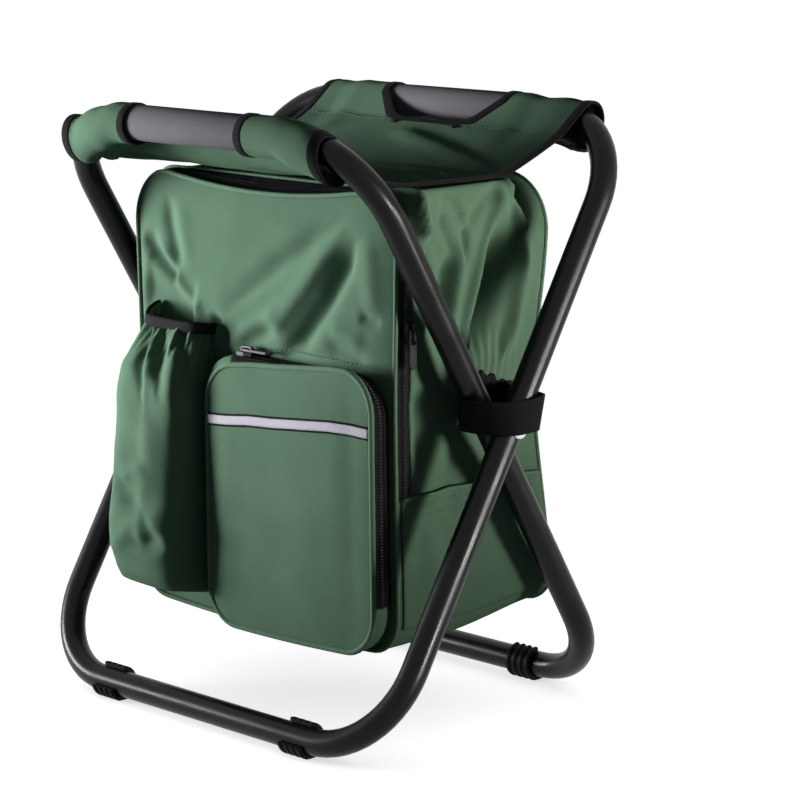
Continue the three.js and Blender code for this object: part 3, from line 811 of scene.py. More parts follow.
@dataclass(frozen=True)
class Film(Finish):
    """A thin silvery skin: crinkled liner film, or a beaded reflective strip."""

    metal: float = 0.6
    roughness: float = 0.34
    crinkle: float = 70.0
    beads: float = 0.0
    specular: float = 0.5
    relief: float = 0.5
    depth: float = 1.2

    def dress(self, nodes: Nodes) -> None:
        """Gives it beads where there are any, and crinkles where there are none.

        Args:
            nodes: The material's tree.
        """
        where = nodes.place()
        if self.beads:
            height = nodes.cells(where, self.beads)
        else:
            crease = nodes.cells(where, self.crinkle, "SMOOTH_F1")
            cloud = nodes.math("MULTIPLY", nodes.noise(where, 160.0, 3), 0.5)
            height = nodes.math("ADD", crease, cloud)
        share = nodes.ramp(height, 0.2, 0.9, (0, 1))
        nodes.set(
            Base_Color=nodes.blend(share, self.shade, self.colour),
            Metallic=self.metal,
            Roughness=self.roughness,
            Specular_IOR_Level=self.specular,
        )
        nodes.bump(height, self.relief, self.depth)


GREEN_OXFORD = Woven("green_oxford", "green_fabric", (0.130, 0.222, 0.153), (0.090, 0.160, 0.107))
GREEN_PIPING = Woven(
    "green_piping", "green_fabric", (0.155, 0.255, 0.180), (0.110, 0.190, 0.130), yarn=0.5
)
GREEN_THREAD = Woven(
    "green_thread", "green_fabric", (0.24, 0.35, 0.27), (0.18, 0.27, 0.20), yarn=0.3
)
BLACK_MESH = Woven(
    "black_mesh", "black_tape", (0.018, 0.018, 0.021), (0.007, 0.007, 0.009),
    yarn=1.6, relief=0.8,
)
BLACK_BINDING = Ribbed(
    "black_binding", "black_tape", (0.015, 0.014, 0.017), (0.006, 0.006, 0.007), rib=0.9
)
BLACK_WEBBING = Ribbed(
    "black_webbing", "black_tape", (0.014, 0.013, 0.016), (0.006, 0.006, 0.007), rib=1.6
)
ZIP_TAPE = Ribbed(
    "zip_tape", "black_tape", (0.020, 0.018, 0.023), (0.008, 0.008, 0.009),
    rib=0.8, along=True,
)
COIL = Coated(
    "zip_coil", "nylon", (0.016, 0.015, 0.018), (0.009, 0.009, 0.011),
    roughness=0.42, specular=0.2,
)
PAINT = Coated(
    "satin_paint", "frame_paint", (0.0036, 0.0033, 0.0044), (0.0028, 0.0026, 0.0034),
    roughness=0.29, specular=0.15,
)
STEEL = Coated(
    "plated_steel", "steel", (0.78, 0.78, 0.80), (0.62, 0.62, 0.65),
    metal=1.0, roughness=0.22, relief=0.05,
)
NYLON = Coated(
    "moulded_nylon", "nylon", (0.014, 0.014, 0.016), (0.009, 0.009, 0.011),
    roughness=0.45, specular=0.2, grain=900,
)
RUBBER = Coated(
    "ribbed_rubber", "foot_rubber", (0.008, 0.008, 0.009), (0.005, 0.005, 0.006),
    roughness=0.5, specular=0.06, grain=700,
)
SLIDER = Coated(
    "black_slider", "slider_metal", (0.012, 0.011, 0.014), (0.008, 0.008, 0.010),
    roughness=0.32, specular=0.15,
)
GRIP = Cellular("smooth_grip", "grip_foam", (0.165, 0.159, 0.178), (0.125, 0.121, 0.136))
FOAM = Cellular(
    "white_foam", "insulation_foam", (0.80, 0.80, 0.77), (0.62, 0.62, 0.60), pores=500
)
LINER = Film("silver_film", "silver_liner", (0.70, 0.71, 0.73), (0.50, 0.51, 0.53))
STRIP = Film(
    "beaded_strip", "reflective", (0.50, 0.485, 0.55), (0.42, 0.405, 0.46),
    metal=0.0, roughness=0.6, beads=900, specular=0.03, relief=0.2, depth=0.2,
)


class Assembly:
    """A group of pieces that are built and placed together."""

    def place(self, obj: Piece, finish: Finish, body: Body | Bend, *replaced: str) -> Piece:
        """Dresses a finished piece and gives it to a body; a piece at a bend is only baked in
        place.

        Args:
            obj: The piece.
            finish: Its finish.
            body: The body it rides on, or the bend between two bodies, where the piece is only
                baked in place.
            *replaced: Solids that it stands for.

        Returns:
            The same piece.
        """
        obj.data.materials.clear()
        obj.data.materials.append(finish.make())
        if isinstance(body, Bend):
            start, end = (Vector(point) * MM for point in (body.start, body.end))
            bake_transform(obj)
            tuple(start)
            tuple(end)
        else:
            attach(obj, body.value)
        if replaced:
            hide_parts(*replaced)
        LOG.info("%s: %d faces", obj.name, len(obj.data.polygons))
        return obj

    def lay(
        self, name: str, grid: tuple[int, int], surface: Surface, size: Point2, thick: float,
        finish: Finish, body: Body | Bend, *replaced: str, outwards: Array = Z_AXIS,
        origin: Point3 | None = None, sewn: bool = False,
    ) -> Piece:
        """Lays cloth over a surface, gives it its thickness and places it.

        Args:
            name: Name of the piece.
            grid: Faces along its first way and its second.
            surface: Gives points in millimetres from two coordinates of 0 to 1.
            size: The cloth's own width and length, for its weave.
            thick: Its thickness, inwards.
            finish: Its finish.
            body: The body it rides on, or where it bends between two.
            *replaced: Solids that it stands for.
            outwards: Direction that its face looks along.
            origin: Point that its face looks away from instead.
            sewn: Whether its ends meet and are joined.

        Returns:
            The new piece.
        """
        obj = sheet(name, *grid, surface, size)
        if sewn:
            weld(obj)
        turn_out(obj, outwards, origin)
        soften(thicken(obj, thick))
        return self.place(obj, finish, body, *replaced)

    def beads(
        self, name: str, path: Array, axes: Sequence[Array], size: Point3, finish: Finish,
        body: Body | Bend,
    ) -> Piece:
        """Sets small rounded shapes in a row, such as stitches or zip teeth.

        Args:
            name: Name of the piece.
            path: Where each one goes.
            axes: Its three directions, for all of them.
            size: Its half sizes along them.
            finish: Its finish.
            body: The body it rides on, or where it bends between two.

        Returns:
            The new piece.
        """
        model = primitive(
            name + "_one", bpy.ops.mesh.primitive_uv_sphere_add,
            segments=6, ring_count=4, radius=1,
        )
        move(model, points_of(model) * np.array(size))
        return self.place(copies(name, model, path, np.stack(axes, axis=1)), finish, body)

    def stitch(
        self, name: str, path: Array, up: Array, body: Body | Bend, pitch: float
    ) -> Piece:
        """Sews a row of stitches along a path.

        Args:
            name: Name of the piece.
            path: The line that it follows.
            up: Direction out of the cloth, at each point or for all.
            body: The body it rides on, or where it bends.
            pitch: Distance between stitches.

        Returns:
            The new piece.
        """
        up = np.broadcast_to(up, path.shape)
        count = max(2, int(length_of(path) / pitch))
        both = resample(np.hstack([path, up * 1e-6]), count)
        path, up = both[:, :3], unit(both[:, 3:])
        across, out = frames(path, up)
        axes = (np.cross(out, across), across, out)
        size = (pitch * 0.36, 0.42, 0.34)
        return self.beads(name, path + out * 0.15, axes, size, GREEN_THREAD, body)


@dataclass(frozen=True)
class Lamp:
    """A soft rectangular lamp aimed at the stool, in metres, watts and degrees."""

    name: str
    place: Point3
    size: Point2
    power: float
    aim: float = 0.36
    spread: float = 20.0
    shine_only: bool = False
    tint: Colour = (1.0, 1.0, 1.0)


@dataclass
class Studio:
    """Camera, lamps, floor and white surroundings."""

    azimuth: float = 46.593
    elevation: float = 11.383
    roll: float = -0.519
    distance: float = 2067.3
    target: float = 182.4
    focal: float = 3006.9
    centre: Point2 = (331.15, 434.02)
    frame: int = 800
    sensor: float = 36.0
    clip: Point2 = (0.05, 200.0)
    floor: float = 40.0
    ambient: float = 0.065
    lamps: tuple[Lamp, ...] = (
        Lamp("key", (-0.95, -0.62, 0.27), (0.45, 0.36), 2.6, 0.33, 44.0),
        Lamp("right", (1.75, 0.72, 0.20), (0.5, 0.4), 0.95, 0.38, tint=(1.0, 0.97, 0.88)),
        Lamp("streak", (2.0, 0.20, 0.46), (0.35, 1.0), 1.3, 0.33, 12.0, True),
    )

    def build(self) -> None:
        """Sets up all of it."""
        self.camera()
        for lamp in self.lamps:
            self.light(lamp)
        self.surroundings()
        self.ground()
        bpy.context.scene.view_settings.view_transform = "Standard"

    def camera(self) -> None:
        """Puts a camera where the photograph was taken from."""
        az, el, roll = (math.radians(v) for v in (self.azimuth, self.elevation, self.roll))
        back = Vector((math.sin(az) * math.cos(el), -math.cos(az) * math.cos(el), math.sin(el)))
        right = Vector((math.cos(az), math.sin(az), 0))
        up = back.cross(right)
        across = right * math.cos(roll) + up * math.sin(roll)
        above = up * math.cos(roll) - right * math.sin(roll)
        data = bpy.data.cameras.new("camera")
        data.sensor_width = self.sensor
        data.lens = self.focal * self.sensor / self.frame
        data.shift_x = (self.frame / 2 - self.centre[0]) / self.frame
        data.shift_y = (self.centre[1] - self.frame / 2) / self.frame
        data.clip_start, data.clip_end = self.clip
        camera = bpy.data.objects.new("camera", data)
        place = Matrix((across, above, back)).transposed().to_4x4()
        place.translation = (back * self.distance + Vector((0, 0, self.target))) * MM
        camera.matrix_world = place
        bpy.context.scene.collection.objects.link(camera)
        bpy.context.scene.camera = camera

    def light(self, lamp: Lamp) -> None:
        """Hangs a lamp; a narrow spread leaves the stool's foot darker.

        Args:
            lamp: Its place, size and power.
        """
        data = bpy.data.lights.new(lamp.name, "AREA")
        data.shape, data.energy = "RECTANGLE", lamp.power
        data.size, data.size_y = lamp.size
        data.spread, data.color = math.radians(lamp.spread), lamp.tint
        obj = bpy.data.objects.new(lamp.name, data)
        obj.location = lamp.place
        way = Vector((0, 0, lamp.aim)) - Vector(lamp.place)
        obj.rotation_euler = way.to_track_quat("-Z", "Y").to_euler()
        obj.visible_diffuse = not lamp.shine_only
        bpy.context.scene.collection.objects.link(obj)

    def surroundings(self) -> None:
        """Sets a faint light from all sides, seen as white."""
        world = bpy.data.worlds.new("surroundings")
        bpy.context.scene.world = world
        nodes = Nodes(world)
        plain = nodes.tree.nodes["Background"]
        nodes.feed(plain.inputs["Color"], (0.95, 0.97, 1, 1))
        nodes.feed(plain.inputs["Strength"], self.ambient)
        white = nodes.add("Background", {"Color": (1, 1, 1, 1)})
        inputs = {0: nodes.seen(), 1: plain.outputs[0], 2: white.outputs[0]}
        mix = nodes.add("MixShader", inputs)
        nodes.feed(nodes.tree.nodes["World Output"].inputs[0], mix.outputs[0])

    def ground(self) -> None:
        """Lays a plain white floor that keeps the stool's cast shadow in its diffuse part, with a
        painted contact shadow in its glow.
        """
        floor = primitive(
            "floor", bpy.ops.mesh.primitive_circle_add,
            vertices=64, radius=self.floor, fill_type="NGON",
        )
        paint = bpy.data.materials.new("white_floor")
        nodes = Nodes(paint)
        reach = nodes.add("VectorMath", {0: nodes.place()}, operation="LENGTH").outputs["Value"]
        # Painted contact shadow: ambient occlusion near the stool dims the floor's glow.
        near = nodes.add("AmbientOcclusion", {"Distance": 0.13}, samples=12).outputs["AO"]
        shadow = nodes.ramp(near, 0.2, 0.85, (0.66, 1.0))
        far = nodes.ramp(reach, 0.6, 1.6, (0.0, 1.0))
        level = nodes.math("MAXIMUM", shadow, far)
        nodes.set(
            Base_Color=(0.86, 0.86, 0.86, 1), Roughness=1.0, Specular_IOR_Level=0.0,
            Emission_Color=(1, 1, 1, 1),
            Emission_Strength=nodes.math("MULTIPLY", nodes.seen(), level),
        )
        floor.data.materials.append(paint)
        floor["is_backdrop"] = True


@dataclass
class Frame(Assembly):
    """The two bent loops with their rivets, washers, grips and feet."""

    tube: float = 9.0
    tube_sides: int = 28
    run_steps: int = 4
    bend: float = 62.0
    bend_steps: int = 14
    upper: float = 222.0
    lower: float = 232.0
    lean: float = 31.0
    pivot: float = 210.463
    outer_half: float = 168.0
    inner_half: float = 147.0
    rail: float = 11.6
    bottom_y: float = 119.489
    clearance: float = 0.3
    grip_radius: float = 12.0
    grip_length: float = 150.0
    grip_edge: float = 2.2
    rivet_head: float = 6.5
    rivet_dome: float = 2.2
    rivet_shank: float = 3.0
    rivet_tail: float = 5.0
    rivet_lip: float = 1.6
    washer_radius: float = 5.7
    washer_half: float = 1.2
    washer_size: Point2 = (2.3, 4.4)
    foot_setback: float = 11.0
    foot_length: float = 21.0
    foot_bore: float = 9.3
    foot_radius: float = 11.3
    foot_edge: float = 0.35
    foot_steps: int = 44
    ribs: int = 4
    rib: float = 1.0
    rib_half: float = 1.7
    crest_half: float = 1.1
    mouth: float = 105.0
    mouth_turn: float = 40.0

    def build(self) -> None:
        """Builds every hard piece of the frame."""
        self.loop("outer_frame_tube", self.outer_half, -self.lean, Body.OUTER, "outer_tube_joiner")
        self.loop("inner_frame_tube", self.inner_half, self.lean, Body.INNER, "inner_tube_joiner")
        self.grip("rear_grip", -self.lean, Body.OUTER)
        self.grip("front_grip", self.lean, Body.INNER)
        for side, sign in SIDES:
            self.rivet(f"pivot_rivet_{side}", sign)
            self.washer(f"pivot_spacer_{side}", sign)
            front = self.outer_half - self.bend - self.foot_setback
            rear = self.inner_half - self.bend - self.foot_setback
            self.foot(f"front_foot_{side}", sign * front, -1, Body.OUTER)
            self.foot(f"rear_foot_{side}", sign * rear, 1, Body.INNER)

    def tilt(self, obj: Piece, lean: float) -> Piece:
        """Leans a piece made upright round the pivot, and lifts it to its place."""
        obj.rotation_euler = (math.radians(lean), 0, 0)
        obj.location = (0, 0, self.pivot * MM)
        return settle(obj)

    def loop(self, name: str, half: float, lean: float, body: Body, joiner: str) -> None:
        """Bends a closed loop of tube: straight runs extruded and bends spun from one circle.

        Args:
            name: The solid it stands for.
            half: Half its width.
            lean: Its angle in degrees.
            body: The body it rides on.
            joiner: The solid inside it that it also stands for.
        """
        run, rise = half - self.bend, self.upper + self.lower - 2 * self.bend
        high, low = self.upper - self.bend, self.bend - self.lower
        obj = settle(primitive(
            name + "_painted", bpy.ops.mesh.primitive_circle_add, vertices=self.tube_sides,
            radius=self.tube * MM, location=(0, 0, self.upper * MM), rotation=(0, QUARTER, 0),
        ))

        def extrude(x: float, z: float) -> None:
            """A straight run."""
            step = (x * MM / self.run_steps, 0, z * MM / self.run_steps)
            for _ in range(self.run_steps):
                bpy.ops.mesh.extrude_edges_move(TRANSFORM_OT_translate={"value": step})

        def spin(x: float, z: float) -> None:
            """A bend round a corner's middle."""
            bpy.ops.mesh.spin(
                steps=self.bend_steps, angle=-QUARTER, center=(x * MM, 0, z * MM),
                axis=(0, 1, 0), use_auto_merge=False,
            )

        edit(
            obj,
            lambda: extrude(run, 0), lambda: spin(run, high),
            lambda: extrude(0, -rise), lambda: spin(run, low),
            lambda: extrude(-2 * run, 0), lambda: spin(-run, low),
            lambda: extrude(0, rise), lambda: spin(-run, high),
            lambda: extrude(run, 0),
            lambda: bpy.ops.mesh.select_all(action="SELECT"),
            lambda: bpy.ops.mesh.remove_doubles(threshold=2e-5),
            lambda: bpy.ops.mesh.normals_make_consistent(inside=False),
        )
        self.place(soften(self.tilt(obj, lean)), PAINT, body, name, joiner)

    def grip(self, name: str, lean: float, body: Body) -> None:
        """Slides a foam sleeve with rounded ends on the top rail.

        Args:
            name: The solid it stands for.
            lean: The loop's angle in degrees.
            body: The body it rides on.
        """
        obj = settle(primitive(
            name + "_foam", bpy.ops.mesh.primitive_cylinder_add, vertices=48,
            radius=self.grip_radius * MM, depth=self.grip_length * MM,
            location=(0, 0, self.upper * MM), rotation=(0, QUARTER, 0), end_fill_type="NGON",
        ))
        modify(obj, "BEVEL", width=self.grip_edge * MM, segments=3, limit_method="ANGLE")
        obj = soften(self.tilt(obj, lean), 60)
        self.place(obj, GRIP, body, name)

    def rivet(self, name: str, sign: int) -> None:
        """Sets a rivet: a domed head outside, a shank and a flared tail inside.

        Args:
            name: The solid it stands for.
            sign: -1 on the left, 1 on the right.
        """
        head = self.outer_half + self.tube + self.clearance
        tail = self.inner_half - self.tube - self.clearance
        top = head - tail + self.rivet_lip
        rings = [(self.rivet_tail, self.rivet_lip), (self.rivet_shank, self.rivet_lip)]
        rings += [(self.rivet_shank, top), (self.rivet_head, top)]
        for turn in np.linspace(0.25, 1.35, 5):
            height = top + self.rivet_dome * math.sin(turn)
            rings.append((self.rivet_head * math.cos(turn), height))
        obj = primitive(
            name + "_plated", bpy.ops.mesh.primitive_circle_add,
            vertices=32, radius=self.rivet_tail * MM, fill_type="NGON",
        )

        def grow() -> None:
            """Extrudes ring after ring."""
            radius, height = self.rivet_tail, 0.0
            for ring, level in rings:
                step = (0, 0, (level - height) * MM)
                bpy.ops.mesh.extrude_region_move(TRANSFORM_OT_translate={"value": step})
                bpy.ops.transform.resize(value=(ring / radius, ring / radius, 1))
                radius, height = ring, level

        edit(
            obj, grow, lambda: bpy.ops.mesh.select_all(action="SELECT"),
            lambda: bpy.ops.mesh.normals_make_consistent(inside=False),
        )
        obj.rotation_euler = (0, sign * QUARTER, 0)
        obj.location = (sign * (tail - self.rivet_lip) * MM, 0, self.pivot * MM)
        self.place(soften(settle(obj), 45), STEEL, Body.OUTER, name)

    def washer(self, name: str, sign: int) -> None:
        """Sets a thin ring between the two tubes.

        Args:
            name: The solid it stands for.
            sign: -1 on the left, 1 on the right.
        """
        angle = np.linspace(0, 2 * math.pi, 33)[:-1]
        x = sign * (self.inner_half + self.tube + self.clearance + self.washer_half)
        reach = self.washer_radius
        path = stack(x, reach * np.cos(angle), self.pivot + reach * np.sin(angle))
        out = unit(path - np.array([x, 0, self.pivot]))
        profile = slab(*self.washer_size, 0.6, 2)
        obj = swept(name + "_ring", path, X_AXIS, out, profile, closed=True)
        self.place(obj, NYLON, Body.OUTER, name)

    def foot(self, name: str, middle: float, towards: int, body: Body) -> None:
        """Clips a ribbed foot on, spun round the rail and cut flat on the floor.

        Args:
            name: The solid it stands for.
            middle: Its place along the rail.
            towards: -1 on the front rail, 1 on the rear one.
            body: The body it rides on.
        """
        half = self.foot_length / 2
        profile = [(-half, self.foot_bore), (half, self.foot_bore)]
        pitch = (self.foot_length - 2 * self.rib_half) / (self.ribs - 1)
        crest = self.foot_radius + self.rib
        for rib in reversed(range(self.ribs)):
            at = -half + self.rib_half + rib * pitch
            profile += [(at + self.rib_half, self.foot_radius), (at + self.crest_half, crest)]
            profile += [(at - self.crest_half, crest), (at - self.rib_half, self.foot_radius)]
        opening, turn = math.radians(self.mouth), math.radians(self.mouth_turn)
        span = (opening / 2, 2 * math.pi - opening / 2)
        angles = turn + np.linspace(*span, self.foot_steps)
        way = stack(0, towards * np.cos(angles), np.sin(angles))
        centre = np.array([middle, towards * self.bottom_y, self.rail])
        path = np.broadcast_to(centre, way.shape)
        obj = swept(name + "_clip", path, X_AXIS, way, np.array(profile))
        cut = {"plane_co": (0, 0, 0), "plane_no": (0, 0, 1), "clear_inner": True}
        edit(obj, lambda: bpy.ops.mesh.bisect(use_fill=True, **cut))
        modify(
            obj, "BEVEL", width=self.foot_edge * MM, segments=2, limit_method="ANGLE",
            angle_limit=math.radians(40),
        )
        self.place(soften(obj, 40), RUBBER, body, name)


@dataclass(frozen=True)
class Outline:
    """A rounded rectangle in X and Z, walked from the middle of its foot, right side first."""

    left: float
    right: float
    low: float
    high: float
    low_radius: float
    high_radius: float

    def shrunk(self, inset: float) -> Outline:
        """The same outline, moved in."""
        return Outline(
            self.left + inset, self.right - inset, self.low + inset, self.high - inset,
            max(self.low_radius - inset, 1.0), max(self.high_radius - inset, 1.0),
        )

    def table(self) -> tuple[Array, Array]:
        """Walks once round it.

        Returns:
            Points with their outward directions, and the distance walked to each.
        """
        low, high = self.low_radius, self.high_radius
        corners = (
            (self.right - low, self.low + low, low, -90),
            (self.right - high, self.high - high, high, 0),
            (self.left + high, self.high - high, high, 90),
            (self.left + low, self.low + low, low, 180),
        )
        rows = [((self.left + self.right) / 2, self.low, 0.0, -1.0)]
        for x, z, radius, start in corners:
            for angle in np.radians(np.linspace(start, start + 90, 13)):
                c, s = math.cos(angle), math.sin(angle)
                rows.append((x + radius * c, z + radius * s, c, s))
        points = np.array([*rows, rows[0]])
        reach = np.cumsum(np.linalg.norm(np.diff(points[:, :2], axis=0), axis=1))
        return points, np.concatenate([[0], reach])

    def length(self) -> float:
        """Distance once round."""
        return float(self.table()[1][-1])

    def walk(self, share: Array, inset: float = 0.0) -> tuple[Array, Array, Array, Array]:
        """Places on the outline.

        Args:
            share: Distances round it, as parts of the whole.
            inset: How far inside it.

        Returns:
            X, Z and the outward direction's X and Z.
        """
        points, reach = self.table()
        at = np.mod(share, 1.0) * reach[-1]
        x, z, nx, nz = (np.interp(at, reach, points[:, k]) for k in range(4))
        size = np.hypot(nx, nz)
        nx, nz = nx / size, nz / size
        return x - nx * inset, z - nz * inset, nx, nz

    def right_share(self, z: float) -> float:
        """Where the walk passes height z on the right side."""
        start = (self.right - self.left) / 2 - self.low_radius + QUARTER * self.low_radius
        return (start + z - self.low - self.low_radius) / self.length()

    def top_share(self, x: float) -> float:
        """Where the walk passes x on the top."""
        corner = self.right_share(self.high - self.high_radius) * self.length()
        start = corner + QUARTER * self.high_radius
        return (start + self.right - self.high_radius - x) / self.length()

    def fill(self, u: Array, v: Array) -> tuple[Array, Array]:
        """Places inside the outline.

        Args:
            u: Across it, 0 to 1.
            v: Up it, 0 to 1.

        Returns:
            X and Z.
        """
        z = self.low + (self.high - self.low) * (0.5 * v + 0.25 - 0.25 * np.cos(math.pi * v))
        over = np.clip(z - self.high + self.high_radius, 0, self.high_radius)
        under = np.clip(self.low + self.low_radius - z, 0, self.low_radius)
        cut = self.high_radius - np.sqrt(self.high_radius**2 - over**2)
        cut += self.low_radius - np.sqrt(self.low_radius**2 - under**2)
        reach = (self.right - self.left) / 2 - cut
        return (self.left + self.right) / 2 + (2 * u - 1) * reach, z


SIDE_FOLDS = (
    Fold(((-46, 372), (-43, 362), (-40, 350), (-35, 332)), 3.6, 8.0, 0.2, 0.1),
    Fold(((-54, 366), (-50, 346), (-45, 326)), 6.0, -10.0, 0.0, 0.2),
    Fold(((-24, 360), (-10, 352), (2, 337)), 2.8, -4.0, 0.0, 0.2),
    Fold(((34, 363), (17, 353), (2, 337)), 2.8, -4.0, 0.0, 0.2),
    Fold(((2, 338), (1, 328), (4, 314)), 2.8, -5.0, 0.0, 0.2),
    Fold(((-21, 352), (-20, 338), (-13, 327), (-8, 318)), 3.0, -4.0),
    Fold(((-2, 334), (-6, 306), (-10, 280), (-11, 250)), 5.5, 6.5, 0.2),
    Fold(((-13, 326), (-16, 300), (-21, 262)), 6.0, -8.0, 0.2),
    Fold(((-31, 330), (-34, 300), (-38, 262)), 6.0, 4.0),
    Fold(((39, 364), (24, 333), (10, 295), (2, 268), (6, 246)), 6.0, 6.0, 0.35, 0.12),
    Fold(((34, 350), (30, 325), (26, 293), (18, 266), (14, 242)), 10.0, -11.0, 0.1, 0.3),
    Fold(((57, 330), (57, 300), (54, 266), (42, 240)), 7.0, 7.0, 0.1, 0.25),
    Fold(((40, 368), (47, 347), (57, 326)), 3.2, 8.0, 0.2, 0.12),
    Fold(((50, 366), (58, 348), (64, 334)), 5.0, -6.0),
    Fold(((-34, 150), (-30, 118), (-33, 88)), 9.0, 3.0),
    Fold(((2, 196), (-8, 176), (-14, 140)), 10.0, -3.5),
    Fold(((28, 190), (40, 160), (46, 120)), 11.0, 3.5),
    Fold(((58, 185), (66, 150), (68, 112)), 9.0, -3.0),
    Fold(((-40, 240), (-36, 205), (-38, 178)), 7.0, -4.0),
)

FRONT_FOLDS = (
    Fold(((-93, 352), (-89, 328), (-84, 313), (-79, 292)), 7.0, -3.4, 0.3),
    Fold(((-80, 350), (-76, 325), (-70, 300)), 9.0, 1.6),
    Fold(((-122, 318), (-109, 305), (-95, 296), (-82, 286)), 7.5, -8.5, 0.25, 0.2),
    Fold(((-103, 318), (-88, 298), (-74, 281), (-52, 262)), 6.5, 3.6, -0.2, 0.2),
    Fold(((-124, 280), (-95, 276), (-62, 266)), 15.0, -8.0, 0.0, 0.15),
    Fold(((-38, 262), (-29, 277), (-3, 297), (25, 316), (61, 335), (94, 356)), 9.0, -3.8, 0.3),
    Fold(((-32, 280), (-12, 300), (16, 322), (55, 344)), 10.0, 1.8),
    Fold(((2, 254), (22, 272), (46, 298), (66, 322), (88, 342)), 9.0, 4.6, 0.3, 0.25),
    Fold(((19, 246), (42, 262), (66, 290), (84, 316), (97, 338)), 7.5, -7.5, 0.0, 0.25),
    Fold(((-26, 255), (-3, 268), (28, 284)), 5.5, 2.6),
    Fold(((-24, 249), (2, 259), (24, 270)), 5.5, -3.6),
    Fold(((-48, 272), (-36, 256), (-30, 247)), 5.0, -4.5),
    Fold(((96, 284), (108, 280), (118, 280)), 3.2, -3.4),
    Fold(((66, 275), (84, 270), (106, 262)), 6.0, 2.4),
    Fold(((62, 262), (86, 258), (110, 250)), 6.0, -2.4),
    Fold(((104, 340), (108, 310), (112, 280)), 8.0, 2.2),
)


@dataclass(frozen=True)
class BagForm:
    """The bag's shape, shared by its cloth, zip, foam and film."""

    outline: Outline = Outline(-128, 128, 62, 364, 24, 38)
    middle: float = 213.0
    half_height: float = 151.0
    inside: Point3 = (0, 10, 213)
    front: float = -62.0
    back_high: float = 79.0
    back_low: float = 86.0
    back_crown: float = 3.5
    zip_end: float = 163.0
    top_sag: float = 9.5
    low_sag: float = 4.5
    heel: float = 9.0
    waist: float = 226.0
    waist_in: float = 8.0
    waist_back: float = 15.0
    sewn: float = 41.0
    crown: float = 5.5

    @property
    def zip_share(self) -> float:
        """Where the main zip starts on the walk; it stops as far before the walk's end."""
        return self.outline.right_share(self.zip_end)

    def back(self, z: Array) -> Array:
        """Depth of the back at a height."""
        share = (z - self.outline.low) / (self.outline.high - self.outline.low)
        return self.back_low + (self.back_high - self.back_low) * share

    def hang(self, points: Array) -> Array:
        """Lets the bag sag at its front edge and foot, drawn in by the straps.

        Args:
            points: Places on its plain form.

        Returns:
            Where they hang.
        """
        x, y, z = points[..., 0], points[..., 1], points[..., 2]
        wide = np.abs(x)
        top = ease(235, 364, z) * (1 - np.minimum(wide / 106, 1) ** 2) * (1 - ease(-61, -44, y))
        low = (1 - ease(62, 150, z)) * (1 - np.minimum(wide / 128, 1) ** 2)
        low = low * (1 - 0.6 * ease(-62, 90, y))
        drawn = hump(z, self.waist, np.where(z > self.waist, 72, 100)) * ease(50, 128, wide)
        lift = (1 - ease(62, 120, z)) * self.heel * ease(0, 86, y)
        return stack(
            x - np.sign(x) * drawn * self.waist_in * hump(y, 6, 60),
            y - drawn * self.waist_back * ease(0, 88, y),
            z - top * self.top_sag - low * self.low_sag + lift,
        )

    def creases(self, x: Array, y: Array, z: Array) -> Array:
        """Folds of the band, its gathers over the strap and small creases.

        Args:
            x: Across the bag.
            y: Depth.
            z: Height.

        Returns:
            How far the cloth stands out.
        """
        behind = self.back(z) - y
        side = ease(96, 122, np.abs(x)) * ease(-52, -44, y) * ease(0, 9, behind)
        rise = fold_sum(SIDE_FOLDS, y, z) * side
        gathers = hump(z, self.waist + 22, 16) * hump(y, 26, 26)
        gathers = gathers * np.sin(y * 0.85 + 0.6 * np.sin(z * 0.2))
        rise += side * (1.1 * gathers + 0.7 * crumple(y + 300 * (x > 0), z, 34, 5))
        small = 0.8 * crumple(x, y + z, 42, 9) * (1 - side)
        return rise + small * ease(-44, -36, y) * ease(2, 12, behind)

    def shell(self, share: Array, y: Array, inset: float | Array = 0.0) -> Array:
        """Points of the band round the bag.

        Args:
            share: Distance round the bag, as a part of the whole.
            y: Depth.
            inset: How far inside the cloth.

        Returns:
            Points as they hang, folds and all.
        """
        x, z, nx, nz = self.outline.walk(share, inset)
        edge = self.outline.right - self.outline.high_radius
        roof = self.outline.high - self.outline.high_radius
        across, above = np.maximum(np.abs(x) - edge, 0), np.maximum(z - roof, 0)
        corner = (across > 0) & (above > 0)
        share_sewn = np.where(x > 0, 1.0, 0.3)
        sewn = corner * (1 - ease(self.sewn - 1, self.sewn + 7, np.abs(y))) * share_sewn
        size, turn = np.hypot(across, above), np.arctan2(above, across) / QUARTER
        flat = ease(0.45, 0.55, turn)
        x = x + sewn * np.sign(x) * (size * np.minimum(2 - 2 * turn, 1) - across)
        z = z + sewn * (size * np.minimum(2 * turn, 1) - above)
        nx, nz = nx + sewn * (np.sign(nx) * (1 - flat) - nx), nz + sewn * (flat - nz)
        rise = self.creases(x, y, z)
        return self.hang(stack(x + nx * rise, y, z + nz * rise * (1 - 0.7 * sewn)))

    def inner(self, x: Array, z: Array, across: int, up: int) -> Array:
        """1 in a panel's middle, 0 at its seams; higher powers fall later."""
        wide = np.clip(np.abs(x / self.outline.right), 0, 1)
        tall = np.clip(np.abs((z - self.middle) / self.half_height), 0, 1)
        return (1 - wide**across) * (1 - tall**up)

    def face(self, x: Array, z: Array, behind: float = 0.0) -> Array:
        """Points of the front panel, or of a layer behind it.

        Args:
            x: Across the bag.
            z: Height.
            behind: How far behind the panel.

        Returns:
            Points as they hang.
        """
        free = 0.25 + 0.75 * ease(228, 252, z)
        creases = fold_sum(FRONT_FOLDS, x, z) + 0.6 * crumple(x, z, 40, 3)
        rise = self.inner(x, z, 10, 12) * free * (self.crown + creases)
        return self.hang(stack(x, self.front + 0.8 + behind - rise, z))

    def rear(self, x: Array, z: Array, inside: float = 0.0) -> Array:
        """Points of the back panel, or of a layer some way inside it."""
        inner = self.inner(x, z, 4, 6)
        y = self.back(z) - inside + self.back_crown * inner
        return self.hang(stack(x, y + 0.6 * inner * crumple(x, z, 46, 8), z))


FORM = BagForm()


